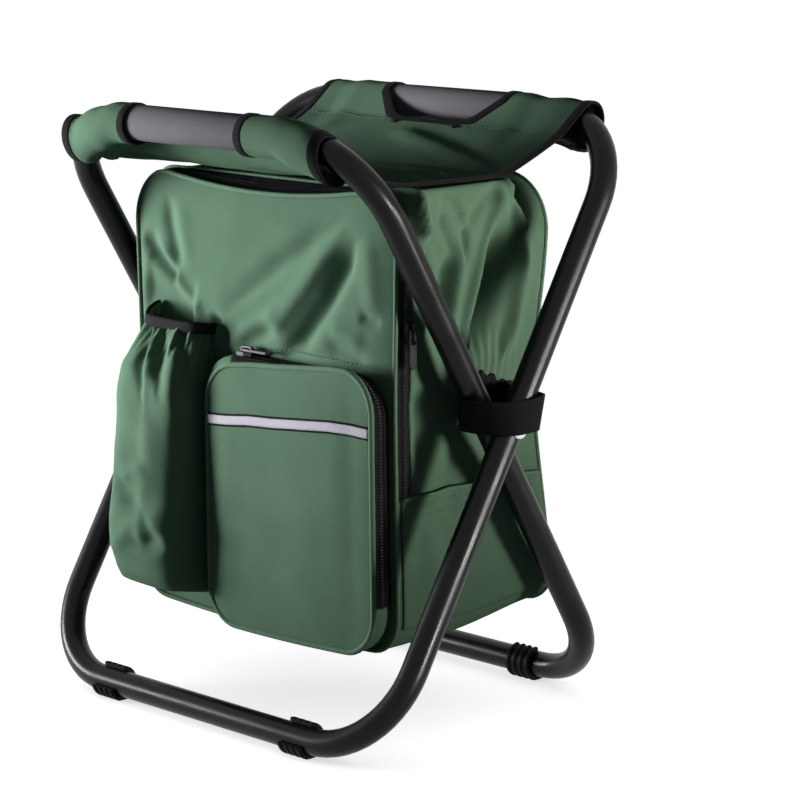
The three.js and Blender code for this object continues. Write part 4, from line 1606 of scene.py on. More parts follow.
@dataclass
class SeatSling(Assembly):
    """The sling: one cloth with a sleeve round each top rail, two hand holes and bound edges."""

    half: float = 126.0
    thick: float = 1.4
    sleeve: float = 13.1
    sleeve_wrap: Point2 = (205.0, 250.0)
    sleeve_loose: Point2 = (77.0, 97.0)
    sleeve_flare: Point2 = (82.0, 126.0)
    rail_end: float = 123.0
    rest: float = 0.8
    slack: float = 3.8
    skew: float = 7.5
    hole: float = 55.0
    hole_inner: float = 34.0
    hole_depth: float = 25.0
    sag: float = 365.0
    drop: float = 8.2
    front_drop: float = 13.0
    rear_drop: float = 3.0
    corner: Point2 = (-38.0, 36.0)
    tape: float = 8.0
    tape_thick: float = 2.4
    tape_over: float = 1.2
    stitch_pitch: float = 3.6
    measured: int = 4
    columns: tuple[int, int, int] = (26, 26, 26)
    rows: tuple[int, int, int, int] = (8, 30, 8, 60)
    wrinkles: tuple[Fold, ...] = (
        Fold(((-24, 76), (42, 61), (84, 48), (122, 34)), 6.0, 3.6, 0.35, 0.2),
        Fold(((0, 82), (50, 72), (100, 52)), 9.0, -2.2),
        Fold(((-8, 28), (44, 28), (84, 12), (118, -6)), 5.0, 4.2, 0.35, 0.2),
        Fold(((6, 40), (50, 38), (92, 22)), 7.0, -2.8),
        Fold(((24, 10), (64, 0), (112, -22)), 5.0, 3.6, 0.3, 0.2),
        Fold(((20, -14), (70, -24), (116, -36)), 6.0, -2.6),
        Fold(((-110, -60), (-70, -30), (-30, 6)), 9.0, 1.8),
        Fold(((-30, -60), (20, -44), (80, -40), (120, -40)), 8.0, 2.2),
        Fold(((-124, 30), (-84, 50), (-56, 76)), 7.0, -1.6),
    )

    @property
    def cut(self) -> int:
        """Rows from a seam to the hand hole's far edge."""
        return sum(self.rows[:3])

    def build(self) -> None:
        """Builds the cloth, its bindings and its seams."""
        places = self.layout()
        normals = unit(np.cross(np.gradient(places, axis=1), np.gradient(places, axis=0)))
        rows, columns = len(places) - 1, sum(self.columns)

        def surface(u: Array, v: Array) -> Array:
            """The cloth's own points."""
            return places[np.rint(v * rows).astype(int), np.rint(u * columns).astype(int)]

        length = length_of(places[:, self.measured])
        cloth = sheet("seat_cloth", columns, rows, surface, (2 * self.half, length))
        self.open_holes(cloth, columns, rows)
        turn_out(cloth, Z_AXIS)
        soften(thicken(cloth, self.thick, 0.0))
        self.place(cloth, GREEN_OXFORD, SEAT_BEND, "seat_sling")
        tapes = []
        for side, sign in SIDES:
            column = 0 if sign < 0 else -1
            edge = self.bind(f"seat_edge_{side}", places[:, column], normals[:, column], sign)
            tapes.append(self.place(edge, BLACK_BINDING, SEAT_BEND, f"seat_binding_{side}"))
        for end, sign in (("front", 1), ("rear", -1)):
            tapes += self.hand_hole(end, places[::sign], normals[::sign], sign)

    def hand_hole(self, end: str, places: Array, normals: Array, sign: int) -> list[Piece]:
        """Binds a hand hole and sews the seam on each side of it.

        Args:
            end: Which hole it is.
            places: The cloth's points, from this end on.
            normals: Directions out of the cloth.
            sign: 1 at the front, -1 at the rear.

        Returns:
            The binding and the two rows of stitches.
        """
        left, cut = self.columns[0], self.cut
        right = left + self.columns[1]
        route = [(row, left) for row in range(cut + 1)]
        route += [(cut, column) for column in range(left + 1, right)]
        route += [(row, right) for row in range(cut, -1, -1)]
        at = tuple(np.array(route).T)
        edge = self.bind(f"hand_hole_{end}", places[at], normals[at], sign)
        made = [self.place(edge, BLACK_BINDING, SEAT_BEND)]
        last = sum(self.columns)
        for side, span in (("left", slice(3, left - 3)), ("right", slice(right + 3, last - 3))):
            name, up = f"seat_seam_{end}_{side}", normals[cut + 1, span]
            line = places[cut + 1, span] + up * 0.8
            made.append(self.stitch(name, line, up, SEAT_BEND, self.stitch_pitch))
        return made

    def rail(self, x: Array, end: int) -> tuple[Array, Array, Array, Array]:
        """Follows a sleeve along its rail.

        Args:
            x: Place along the rail.
            end: -1 for the front sleeve, 1 for the rear one.

        Returns:
            Y and Z of its middle, how loose it is past the grip and how flat at its end.
        """
        frame = Frame()
        straight = (frame.inner_half if end < 0 else frame.outer_half) - frame.bend
        over = np.clip(np.minimum(np.abs(x), self.rail_end) - straight, 0, frame.bend)
        drop = frame.bend - np.sqrt(frame.bend**2 - over**2)
        lean = math.radians(frame.lean)
        loose = ease(*self.sleeve_loose, np.abs(x))
        flare = ease(*self.sleeve_flare, np.abs(x - end * self.skew))
        y = end * (frame.upper - drop) * math.sin(lean)
        z = frame.pivot + (frame.upper - drop) * math.cos(lean)
        return y, z - self.rest - self.slack * loose, loose, flare

    def layout(self) -> Array:
        """Spreads the cloth between its two sleeves.

        Returns:
            Its points, row by row from the front seam to the rear seam.
        """
        under, round_, _, flat = self.rows
        front, rear = self.end(-1), self.end(1)[::-1]
        t = np.linspace(0, 1, flat + 1)[1:-1, None]
        start, finish = front[-1], rear[0]
        x, y = (start[:, k] * (1 - t) + finish[:, k] * t for k in (0, 1))
        level = self.sag + 2.4 * np.abs(x / self.half) ** 3
        near, far = self.corner
        ahead = np.clip((near - y) / (near - start[:, 1]), 0, 1) ** 1.7
        behind = np.clip((y - far) / (finish[:, 1] - far), 0, 1) ** 1.12
        z = level + (start[:, 2] - level) * ahead + (finish[:, 2] - level) * behind
        places = np.concatenate([front, np.stack([x, y, z], axis=-1), rear])
        flat_rows = slice(under + round_ + 1, len(places) - under - round_ - 1)
        area = places[flat_rows]
        x, y = area[..., 0], area[..., 1]
        spread = ease(0, 14, np.minimum(y + 90, 90 - y))
        area[..., 2] += spread * (fold_sum(self.wrinkles, x, y) + 0.7 * crumple(x, y, 38, 4))
        sleeve = np.ones(len(places), bool)
        sleeve[flat_rows] = False
        tube = places[sleeve]
        tube[..., 2] += 0.5 * crumple(tube[..., 0], tube[..., 1] + tube[..., 2], 20, 6)
        places[sleeve] = tube
        return places

    def widths(self, count: int) -> Array:
        """Half widths of the hand hole over its rows, with its inner corners rounded."""
        t = np.linspace(0, 1, count)
        wide = self.hole + (self.hole_inner - self.hole) * t
        return wide - 8 * np.clip((t - 0.7) / 0.3, 0, 1) ** 2.5

    def end(self, end: int) -> Array:
        """Lays one end: under the sleeve, round it, and in to the hand hole's far edge.

        Args:
            end: -1 for the front, 1 for the rear.

        Returns:
            Rows of points.
        """
        under, round_, inner, _ = self.rows
        left, middle, right = self.columns
        below, above = self.widths(under + 1)[::-1], self.widths(inner + 1)[1:]
        wides = np.concatenate([below[:-1], np.full(round_ + 1, self.hole), above])
        edge_drop = (self.front_drop if end < 0 else self.rear_drop) - self.drop
        first, sweep = self.sleeve_wrap
        rows = []
        for row, wide in enumerate(wides):
            x = np.concatenate([
                np.linspace(-self.half, -wide, left + 1)[:-1],
                np.linspace(-wide, wide, middle + 1)[:-1],
                np.linspace(wide, self.half, right + 1),
            ])
            x = x + end * self.skew
            yc, zc, loose, flare = self.rail(x, end)
            edge = ease(60, 126, np.abs(x - end * self.skew))
            far_y = yc - end * self.hole_depth
            far_z = zc - self.drop - edge * edge_drop
            angle = math.radians(first - sweep * np.clip((row - under) / round_, 0, 1))
            turn = math.radians(Frame().lean) * flare
            out = (self.sleeve - 0.4 * flare) * math.sin(angle)
            up = (self.sleeve + 1.2 * loose + 2.6 * flare) * math.cos(angle)
            y = yc + end * (out * np.cos(turn) + up * np.sin(turn))
            z = zc + up * np.cos(turn) - out * np.sin(turn)
            if row < under:
                t = row / under
                y, z = far_y * (1 - t) + y * t, (far_z - 2.4) * (1 - t) + z * t
            elif row > under + round_:
                t = (row - under - round_) / inner
                y, z = y * (1 - t) + far_y * t, z * (1 - t) + far_z * t
            rows.append(stack(x, y, z))
        return np.array(rows)

    def open_holes(self, obj: Piece, columns: int, rows: int) -> None:
        """Deletes the faces of the hand holes.

        Args:
            obj: The cloth, still with the grid's own order of faces.
            columns: Faces across.
            rows: Faces along.
        """
        number = np.arange(columns * rows)
        column, row = number % columns + 0.5, number // columns + 0.5
        left, middle, _ = self.columns
        ends = (row < self.cut) | (row > rows - self.cut)
        gone = ends & (column > left) & (column < left + middle)

        def drop() -> None:
            """Selects those faces and deletes them."""
            bpy.ops.mesh.select_all(action="DESELECT")
            bpy.ops.object.mode_set(mode="OBJECT")
            obj.data.polygons.foreach_set("select", gone)
            bpy.ops.object.mode_set(mode="EDIT")
            bpy.ops.mesh.delete(type="FACE")

        edit(obj, lambda: bpy.ops.mesh.select_mode(type="FACE"), drop)

    def bind(self, name: str, path: Array, normals: Array, sign: int) -> Piece:
        """Folds tape over an edge.

        Args:
            name: Name of the piece.
            path: The edge.
            normals: Directions out of the cloth.
            sign: 1 where the cloth ends to the right of the path.

        Returns:
            The new piece.
        """
        across, out = frames(path, normals)
        profile = slab(self.tape, self.tape_thick, 1.3)
        profile = profile + np.array([self.tape_over - self.tape / 2, 0])
        return swept(name, path, across * sign, out, profile)


@dataclass
class Bag(Assembly):
    """The bag's cloth: front panel, band, back, piping and main zip."""

    thick: float = 1.2
    panel: Point2 = (256.0, 302.0)
    depth: float = 150.0
    piping: float = 1.6
    piping_steps: int = 240
    tape_thick: float = 1.0
    tape_wide: float = 8.0
    tape_in: float = -46.0
    tape_under: float = 2.4
    tape_seam: float = -53.9
    tape_gap: float = 0.15
    tape_out: float = -61.0
    tooth_pitch: float = 2.2
    tooth: Point3 = (0.75, 1.25, 0.8)
    teeth_on_bag: float = -53.1
    teeth_on_flap: float = -54.9
    slip_low: float = 78.0
    slip_high: float = 165.0
    slip_front: float = -58.0
    slip_size: Point2 = (150.0, 88.0)
    hem: Point3 = (2.4, 2.6, 1.0)
    stitch_pitch: float = 4.0

    def build(self) -> None:
        """Builds every panel of the bag."""
        self.front()
        self.band()
        self.rear()
        self.zip()
        self.slip_pocket()

    def pipe(
        self, name: str, depth: Callable[[Array], Array | float], body: Body | Bend
    ) -> None:
        """Sews piping round a panel's edge.

        Args:
            name: Name of the piece.
            depth: Gives its depth at a height.
            body: The body it rides on, or where it bends.
        """
        share = np.linspace(0, 1, self.piping_steps + 1)[:-1]
        x, z, _, _ = FORM.outline.walk(share, 0.4)
        path = FORM.hang(stack(x, depth(z), z))
        self.place(rope(name, path, self.piping), GREEN_PIPING, body)

    def front(self) -> None:
        """Sews the front panel, from the zip at its top to the bag's foot, with its piping."""
        shape = FORM.outline.shrunk(1.0)
        self.lay(
            "front_cloth", (110, 130), lambda u, v: FORM.face(*shape.fill(u, v)), self.panel,
            self.thick, GREEN_OXFORD, FLAP_BEND, "front_flap_panel", "front_panel_lower",
            outwards=-Y_AXIS,
        )
        self.pipe("front_piping", lambda z: FORM.front - 0.2, FLAP_BEND)

    def band(self) -> None:
        """Sews the band of cloth round the bag, with the strip in front of it below the zip."""
        low, lap = FORM.zip_share, 0.004

        def surface(u: Array, v: Array) -> Array:
            """Points from the front seam, or the zip, to the back seam."""
            share = np.mod(u + 0.5, 1.0)
            zipped = ease(low, low + lap, share) * (1 - ease(1 - low - lap, 1 - low, share))
            near = FORM.front + 1.2 + (self.tape_in - 0.6 - FORM.front - 1.2) * zipped
            _, z, _, _ = FORM.outline.walk(share)
            far = FORM.back(z) + 0.5
            return FORM.shell(share, near + (far - near) * v)

        self.lay(
            "bag_band", (340, 72), surface, (FORM.outline.length(), self.depth), self.thick,
            GREEN_OXFORD, Body.BAG, "bag_gusset", origin=FORM.inside, sewn=True,
        )

    def rear(self) -> None:
        """Sews the back panel and its piping."""
        shape = FORM.outline.shrunk(1.0)
        self.lay(
            "back_cloth", (64, 76), lambda u, v: FORM.rear(*shape.fill(u, v)), self.panel,
            self.thick, GREEN_OXFORD, Body.BAG, "bag_back_panel", outwards=Y_AXIS,
        )
        self.pipe("back_piping", FORM.back, Body.BAG)

    def zip(self) -> None:
        """Sews in both tapes of the main zip with their rows of teeth."""
        gap = self.tape_gap
        self.zip_tape("bag", self.tape_in - self.tape_under, self.tape_seam + gap, Body.BAG)
        self.zip_tape("flap", self.tape_seam - gap, self.tape_out, FLAP_BEND)
        self.teeth("bag", self.teeth_on_bag, Body.BAG, 0.25)
        self.teeth("flap", self.teeth_on_flap, FLAP_BEND, 0.75)

    def zip_tape(self, side: str, near: float, far: float, body: Body | Bend) -> None:
        """Sews in one tape of the main zip.

        Args:
            side: Which half it is sewn to.
            near: Depth of its rear edge.
            far: Depth of its front edge.
            body: The body it rides on, or where it bends.
        """
        low = FORM.zip_share
        lift = 0.5 if body is FLAP_BEND else 0.0

        def surface(u: Array, v: Array) -> Array:
            """Points along the zip; the flap's tape comes up to the front seam."""
            return FORM.shell(low + (1 - 2 * low) * u, near + (far - near) * v, 0.5 - lift * v)

        size = ((1 - 2 * low) * FORM.outline.length(), self.tape_wide)
        self.lay(
            f"zip_tape_on_{side}", (220, 4), surface, size, self.tape_thick, ZIP_TAPE, body,
            f"zip_tape_{side}", origin=FORM.inside,
        )

    def teeth(self, side: str, y: float, body: Body | Bend, start: float) -> None:
        """Sets one row of coil turns along the zip.

        Args:
            side: Which half it is on.
            y: Its depth.
            body: The body it rides on, or where it bends.
            start: Where its first tooth sits, as a part of the pitch.
        """
        low = FORM.zip_share
        count = int((1 - 2 * low) * FORM.outline.length() / self.tooth_pitch)
        share = low + (1 - 2 * low) * (np.arange(count) + start) / count
        depth = np.full(count, y)
        path = FORM.shell(share, depth, -0.4)
        out = unit(FORM.shell(share, depth, -3.0) - FORM.shell(share, depth, 3.0))
        across = np.broadcast_to(Y_AXIS, path.shape)
        axes = (np.cross(across, out), across, out)
        self.beads(f"teeth_on_{side}", path, axes, self.tooth, COIL, body)

    def slip_pocket(self) -> None:
        """Sews the flat pocket on the right side, with a doubled hem."""
        low, high = (FORM.outline.right_share(z) for z in (self.slip_low, self.slip_high))
        steps = 60

        def surface(u: Array, v: Array) -> Array:
            """Points from the front seam to the back seam, puffed out at the mouth."""
            share = low + (high - low) * v
            _, z, _, _ = FORM.outline.walk(share)
            y = self.slip_front + (FORM.back(z) - 2 - self.slip_front) * u
            puff = 1.6 + 2.0 * ease(0.5, 1, v) * np.sin(np.clip(u, 0, 1) * math.pi)
            return FORM.shell(share, y, 0.0) + X_AXIS * puff[..., None]

        self.lay(
            "slip_pocket_cloth", (steps, 40), surface, self.slip_size, self.thick,
            GREEN_OXFORD, Body.BAG, "side_slip_pocket", outwards=X_AXIS,
        )
        hem = surface(np.linspace(0.01, 0.99, steps), np.full(steps, 0.995))
        rim = strip("slip_pocket_hem", hem, X_AXIS, slab(*self.hem))
        self.place(rim, GREEN_PIPING, Body.BAG)
        for row, at in (("upper", 0.93), ("lower", 0.85)):
            line = surface(np.linspace(0.03, 0.97, steps), np.full(steps, at)) + X_AXIS * 0.2
            name = f"slip_pocket_stitch_{row}"
            self.stitch(name, line, X_AXIS, Body.BAG, self.stitch_pitch)


@dataclass(frozen=True)
class Layer:
    """A layer of the lining: how far inside the cloth it lies, and its thickness."""

    name: str
    node: str
    finish: Finish
    inset: float
    thick: float
    edge: float


@dataclass
class Lining(Assembly):
    """Foam and silver film inside the bag and behind its opening front."""

    foam: Layer = Layer("foam", "insulation", FOAM, 2.4, 3.8, 2.0)
    film: Layer = Layer("film", "liner", LINER, 6.6, 0.6, 4.5)
    lip: float = -52.0
    panel_size: Point2 = (240.0, 290.0)
    depth: float = 130.0

    def build(self) -> None:
        """Builds each layer behind the cloth it follows."""
        self.sleeve(self.foam, "insulation_sleeve")
        self.wall(self.foam, "insulation_back")
        self.sleeve(self.film, "cooler_liner")
        self.wall(self.film)
        self.panel(self.foam)
        self.panel(self.film)

    def sleeve(self, layer: Layer, node: str) -> None:
        """Lines the band.

        Args:
            layer: What it is lined with.
            node: The solid it stands for.
        """
        def surface(u: Array, v: Array) -> Array:
            """Points from the lip to the back."""
            _, z, _, _ = FORM.outline.walk(u)
            far = FORM.back(z) - layer.inset
            return FORM.shell(u, self.lip + (far - self.lip) * v, layer.inset)

        self.lay(
            f"{layer.name}_sleeve", (260, 36), surface, (FORM.outline.length(), self.depth),
            layer.thick, layer.finish, Body.BAG, node, origin=FORM.inside, sewn=True,
        )

    def wall(self, layer: Layer, *nodes: str) -> None:
        """Lines the back panel.

        Args:
            layer: What it is lined with.
            *nodes: The solids it stands for.
        """
        shape = FORM.outline.shrunk(layer.inset + 1)
        self.lay(
            f"{layer.name}_back", (40, 48),
            lambda u, v: FORM.rear(*shape.fill(u, v), layer.inset), self.panel_size,
            layer.thick, layer.finish, Body.BAG, *nodes, outwards=Y_AXIS,
        )

    def panel(self, layer: Layer) -> None:
        """Lines the front panel.

        Args:
            layer: What it is lined with.
        """
        shape = FORM.outline.shrunk(layer.edge)
        self.lay(
            f"{layer.name}_flap", (80, 96),
            lambda u, v: FORM.face(*shape.fill(u, v), layer.inset - 0.8), self.panel_size,
            layer.thick, layer.finish, FLAP_BEND,
            f"{layer.node}_flap", f"{layer.node}_front_lower", outwards=-Y_AXIS,
        )


@dataclass
class ZipPocket(Assembly):
    """The front pocket: face, side band, zip, piping and reflective strip."""

    outline: Outline = Outline(-39, 121, 64, 244, 26, 26)
    inside: Point3 = (41, -70, 154)
    half: Point2 = (80.0, 90.0)
    face_size: Point2 = (160.0, 180.0)
    face_y: float = -81.3
    base_y: float = -62.5
    crown: float = 3.4
    swell: float = 1.6
    piping: float = 2.0
    piping_steps: int = 200
    thick: float = 1.2
    zip_left: float = -13.0
    zip_low: float = 95.0
    lip: Point3 = (3.0, 1.0, 0.45)
    lip_front: float = -76.6
    lip_rear: float = -66.8
    lip_steps: int = 120
    coil: Point3 = (0.7, 2.1, 0.8)
    coil_y: float = -71.7
    coil_pitch: float = 2.0
    strip: Point2 = (203.5, 209.5)
    strip_left: float = -38.0
    strip_length: float = 158.0
    strip_thick: float = 0.7
    shift: float = 3.0
    lean: tuple[Point2, ...] = (
        (-36, -6), (-14, -4), (7, -1.5), (30, 0), (56, 2.5), (85, 5), (104, 5.2), (125, 4.2)
    )

    def build(self) -> None:
        """Builds every piece of the pocket."""
        self.front()
        self.side()
        self.zip()
        self.reflector()
        x = np.linspace(-16, 104, 50)
        line = FORM.face(x, 250.5 + 2.2 * np.sin((x + 16) / 120 * math.pi)) - Y_AXIS * 0.3
        self.stitch("pocket_stitch_top", line, -Y_AXIS, FLAP_BEND, 3.4)

    def skin(self, x: Array, z: Array, out: float = 0.0) -> Array:
        """Points of the face.

        Args:
            x: Across the pocket.
            z: Height.
            out: How far in front of the cloth.

        Returns:
            Points as they hang.
        """
        wide = np.clip(np.abs((x - self.inside[0]) / self.half[0]), 0, 1)
        tall = np.clip(np.abs((z - self.inside[2]) / self.half[1]), 0, 1)
        inner = (1 - wide**4) * (1 - tall**4)
        rise = self.crown * inner + 0.55 * inner * crumple(x, z, 46, 12) + out
        rise += inner * (1.2 * hump(x, -20, 12) - 1.2 * hump(x, 104, 9) + 0.9 * hump(x, 60, 26))
        return self.settle(stack(x, self.face_y - rise, z))

    def settle(self, points: Array) -> Array:
        """Lets the pocket lean: its face hangs a little to the right and higher there.

        Args:
            points: Places on the upright pocket.

        Returns:
            Where they hang.
        """
        x, y, z = points[..., 0], points[..., 1], points[..., 2]
        free = ease(77, 81, -y)
        lift = np.interp(x, *np.array(self.lean).T) * ease(110, 200, z) * free
        return FORM.hang(stack(x + self.shift * free, y, z + lift))

    def front(self) -> None:
        """Sews the face and its piping."""
        shape = self.outline.shrunk(0.8)
        self.lay(
            "pocket_cloth", (64, 72), lambda u, v: self.skin(*shape.fill(u, v)), self.face_size,
            self.thick, GREEN_OXFORD, FLAP_BEND, "pocket_front", outwards=-Y_AXIS,
        )
        x, z, _, _ = self.outline.walk(np.linspace(0, 1, self.piping_steps + 1)[:-1], 0.2)
        path = self.settle(stack(x, self.face_y + 0.4, z))
        self.place(rope("pocket_piping", path, self.piping), GREEN_PIPING, FLAP_BEND)

    def wall(self, share: Array, y: Array, inset: float = 0.0) -> Array:
        """Points of the band round the pocket.

        Args:
            share: Distance round the pocket, as a part of the whole.
            y: Depth.
            inset: How far inside the cloth.

        Returns:
            Points as they hang.
        """
        x, z, nx, nz = self.outline.walk(share, inset)
        depth = np.clip((y - self.face_y) / (self.base_y - self.face_y), 0, 1)
        swell = self.swell * np.sin(math.pi * depth)
        swell = swell + 0.5 * crumple(share * 600, y, 26, 14)
        return self.settle(stack(x + nx * swell, y, z + nz * swell))

    def band(
        self, name: str, faces: int, start: float, end: float, depth: Point2, wide: float,
        finish: Finish, node: str,
    ) -> None:
        """Sews in a part of the band.

        Args:
            name: Name of the piece.
            faces: Faces along it.
            start: Where it starts on the walk round the pocket.
            end: Where it ends.
            depth: Its rear edge, and how far it reaches from there.
            wide: Its width, for its weave.
            finish: Its finish.
            node: The solid it stands for.
        """
        length = (end - start) * self.outline.length()
        self.lay(
            name, (faces, 10),
            lambda u, v: self.wall(start + (end - start) * u, depth[0] + depth[1] * v),
            (length, wide), self.thick, finish, FLAP_BEND, node, origin=self.inside,
        )

    def side(self) -> None:
        """Sews in the green part: left side, foot and the right side's lower end."""
        start = self.outline.top_share(self.zip_left) - 1
        end = self.outline.right_share(self.zip_low)
        depth = (self.base_y + 1.5, self.face_y - self.base_y - 1.5)
        self.band("pocket_band", 120, start, end, depth, 20, GREEN_OXFORD, "pocket_gusset")

    def zip(self) -> None:
        """Sews in the black tape over the top and down the right side, with its coil."""
        start = self.outline.right_share(self.zip_low)
        end = self.outline.top_share(self.zip_left)
        depth = (self.base_y + 1, self.face_y - self.base_y - 1.5)
        self.band("pocket_zip", 130, start, end, depth, 18, ZIP_TAPE, "pocket_zip_tape")
        share = np.linspace(start, end, self.lip_steps)
        for name, y in (("front", self.lip_front), ("rear", self.lip_rear)):
            path, up = self.raised(share, y, -0.3)
            fold = strip(f"pocket_zip_lip_{name}", path, up, slab(*self.lip))
            self.place(fold, BLACK_BINDING, FLAP_BEND)
        count = int((end - start) * self.outline.length() / self.coil_pitch)
        path, up = self.raised(np.linspace(start, end, count), self.coil_y, -0.5)
        across = np.broadcast_to(Y_AXIS, path.shape)
        axes = (np.cross(across, up), across, up)
        self.beads("pocket_coil", path, axes, self.coil, COIL, FLAP_BEND)

    def raised(self, share: Array, y: float, inset: float) -> tuple[Array, Array]:
        """A line on the band at one depth, and the directions out of the cloth."""
        depth = np.full(len(share), y)
        path = self.wall(share, depth, inset)
        return path, unit(self.wall(share, depth, -3) - path)

    def reflector(self) -> None:
        """Sews on the reflective strip, on a slightly wider black tape."""
        low, high = self.strip
        for name, margin, lift, finish, nodes in (
            ("strip_backing", 1.4, 0.5, BLACK_BINDING, ()),
            ("strip_film", 0.0, 1.0, STRIP, ("reflective_strip",)),
        ):
            def surface(u: Array, v: Array) -> Array:
                """Points from left to right, a little off the face."""
                z = low - margin + (high - low + 2 * margin) * v
                return self.skin(self.strip_left + self.strip_length * u, z, lift)

            self.lay(
                name, (64, 4), surface, (self.strip_length, 12), self.strip_thick, finish,
                FLAP_BEND, *nodes, outwards=-Y_AXIS,
            )


@dataclass
class BottlePocket(Assembly):
    """The gathered pocket at the front left, with an elastic edge."""

    low: float = 83.0
    mouth: Point3 = (270.0, 263.5, 261.5)
    left: tuple[Point2, ...] = (
        (80, -120), (105, -126), (150, -124), (215, -123), (232, -121), (246, -114), (262, -107)
    )
    right: float = -46.0
    depth: tuple[Point2, ...] = (
        (80, 40), (90, 46), (105, 49), (125, 49), (152, 46), (197, 41), (215, 40), (228, 37),
        (240, 31), (252, 24), (264, 20),
    )
    corners: Point2 = (0.40, 0.62)
    thick: float = 1.2
    size: Point2 = (150.0, 190.0)
    foot: float = 0.1
    elastic: Point3 = (2.8, 8.0, 1.3)
    folds: tuple[Fold, ...] = (
        Fold(((30, 292), (36, 256), (42, 238), (50, 220), (54, 198)), 4.2, -5.0, 0.2, 0.45),
        Fold(
            ((36, 292), (41, 254), (48, 238), (52, 226), (54, 208), (55, 190)), 3.6, 2.6, 0.0, 0.45
        ),
        Fold(((42, 292), (47, 254), (56, 238), (63, 222), (66, 206)), 5.0, -6.0, 0.3, 0.4),
        Fold(
            ((58, 300), (62, 256), (67, 242), (70, 228), (72, 210), (73, 185)), 4.4, 2.6, 0.0, 0.45
        ),
        Fold(((52, 280), (57, 252), (61, 246), (65, 236)), 3.0, 2.0, 0.0, 0.45),
        Fold(((66, 292), (69, 254), (76, 236), (80, 215)), 3.4, -3.4, 0.0, 0.45),
        Fold(((71, 292), (75, 254), (80, 240), (84, 215)), 3.6, 1.8, 0.0, 0.45),
        Fold(((20, 292), (24, 250), (28, 228)), 5.0, -2.6, 0.0, 0.45),
        Fold(((55, 206), (58, 185), (59, 165), (56, 134)), 7.0, 2.4),
        Fold(((32, 154), (42, 145), (50, 138), (56, 133)), 7.0, -3.6, 0.0, 0.4),
        Fold(((56, 137), (57, 124), (58, 108)), 4.6, 2.6, 0.0, 0.4),
        Fold(((57, 136), (48, 120), (38, 108), (28, 98)), 5.6, 2.4, 0.0, 0.4),
        Fold(((56, 137), (65, 130), (72, 120), (76, 106)), 5.2, 2.4, 0.3, 0.4),
        Fold(((60, 124), (64, 116), (68, 104)), 7.0, -2.6, 0.0, 0.45),
        Fold(((38, 152), (50, 161), (58, 169)), 6.0, 2.2),
        Fold(((8, 170), (16, 140), (14, 104)), 8.0, -2.4),
    )

    def build(self) -> None:
        """Builds the cloth and its elastic edge."""
        self.lay(
            "bottle_cloth", (120, 110), self.surface, self.size, self.thick, GREEN_OXFORD,
            FLAP_BEND, "bottle_pocket", outwards=-Y_AXIS,
        )
        self.edge()

    def rim(self, u: Array) -> Array:
        """Height of the mouth across the pocket."""
        left, middle, right = self.mouth
        rise = (left - middle) * (1 - ease(0.0, 0.28, u))
        return middle + rise + (right - middle) * ease(0.72, 1.0, u)

    def plain(self, u: Array, z: Array) -> tuple[Array, Array]:
        """Points of the pocket without its folds, and the way out of the cloth.

        Args:
            u: Place from the left seam to the right one, 0 to 1.
            z: Height.

        Returns:
            Points and directions.
        """
        left, depth = (np.interp(z, *np.array(side).T) for side in (self.left, self.depth))
        turn = np.linspace(0, math.pi, 800)
        power = np.where(turn > QUARTER, *self.corners)
        out = np.sign(np.cos(turn)) * np.abs(np.cos(turn)) ** power
        forward = np.sin(turn) ** power
        reach = np.concatenate([[0], np.cumsum(np.hypot(np.diff(out), np.diff(forward)))])
        out, forward = (np.interp(u, reach / reach[-1], side) for side in (out, forward))
        x = (left + self.right) / 2 - (self.right - left) / 2 * out
        way = stack(-np.sign(out) * np.abs(out) ** 1.6, -(forward**1.6) - 0.05, 0)
        return stack(x, FORM.front - depth * forward, z), unit(way)

    def surface(self, u: Array, v: Array) -> Array:
        """Points of the cloth.

        Args:
            u: From its left seam to its right one, 0 to 1.
            v: From its foot to its mouth, 0 to 1.

        Returns:
            Points as they hang, folds and all.
        """
        top = self.rim(u)
        wall = np.clip((v - self.foot) / (1 - self.foot), 0, 1)
        z = self.low + (top - self.low) * wall
        points, way = self.plain(u, z)
        arc, below = u * 100, top - z
        free = ease(0, 0.08, u) * ease(0, 0.08, 1 - u) * ease(0, 8, below) * ease(0, 0.05, wall)
        ripple = 1.3 * np.sin(arc * 0.72 + 0.8 * np.sin(arc * 0.13)) + 0.8 * np.sin(arc * 1.31 + 1)
        ripple = ease(top - 34, top - 6, z) * ripple
        small = crumple(arc, z, 26, 21) * (1 - ease(205, 240, z))
        rise = fold_sum(self.folds, arc, z) + ripple + small
        points = points + way * (rise * free - 0.8 * ease(14, 4, below))[..., None]
        under = 1 - np.clip(v / self.foot, 0, 1)
        points[..., 1] += (FORM.front - points[..., 1]) * under
        ahead = np.minimum((FORM.front - points[..., 1]) / 12, 1)
        points[..., 2] -= 5 * np.sin(under * math.pi / 2) * ahead
        return FORM.hang(points)

    def edge(self) -> None:
        """Sews in the elastic, smooth along the mouth."""
        u = np.linspace(0, 1, 90)
        path, way = self.plain(u, self.rim(u))
        path = FORM.hang(path)
        across, out = frames(path, unit(Z_AXIS - 0.12 * way))
        path = path - out * self.elastic[1] * 0.3
        band = swept("bottle_elastic", path, across, out, slab(*self.elastic))
        self.place(band, BLACK_BINDING, FLAP_BEND, "bottle_pocket_elastic")


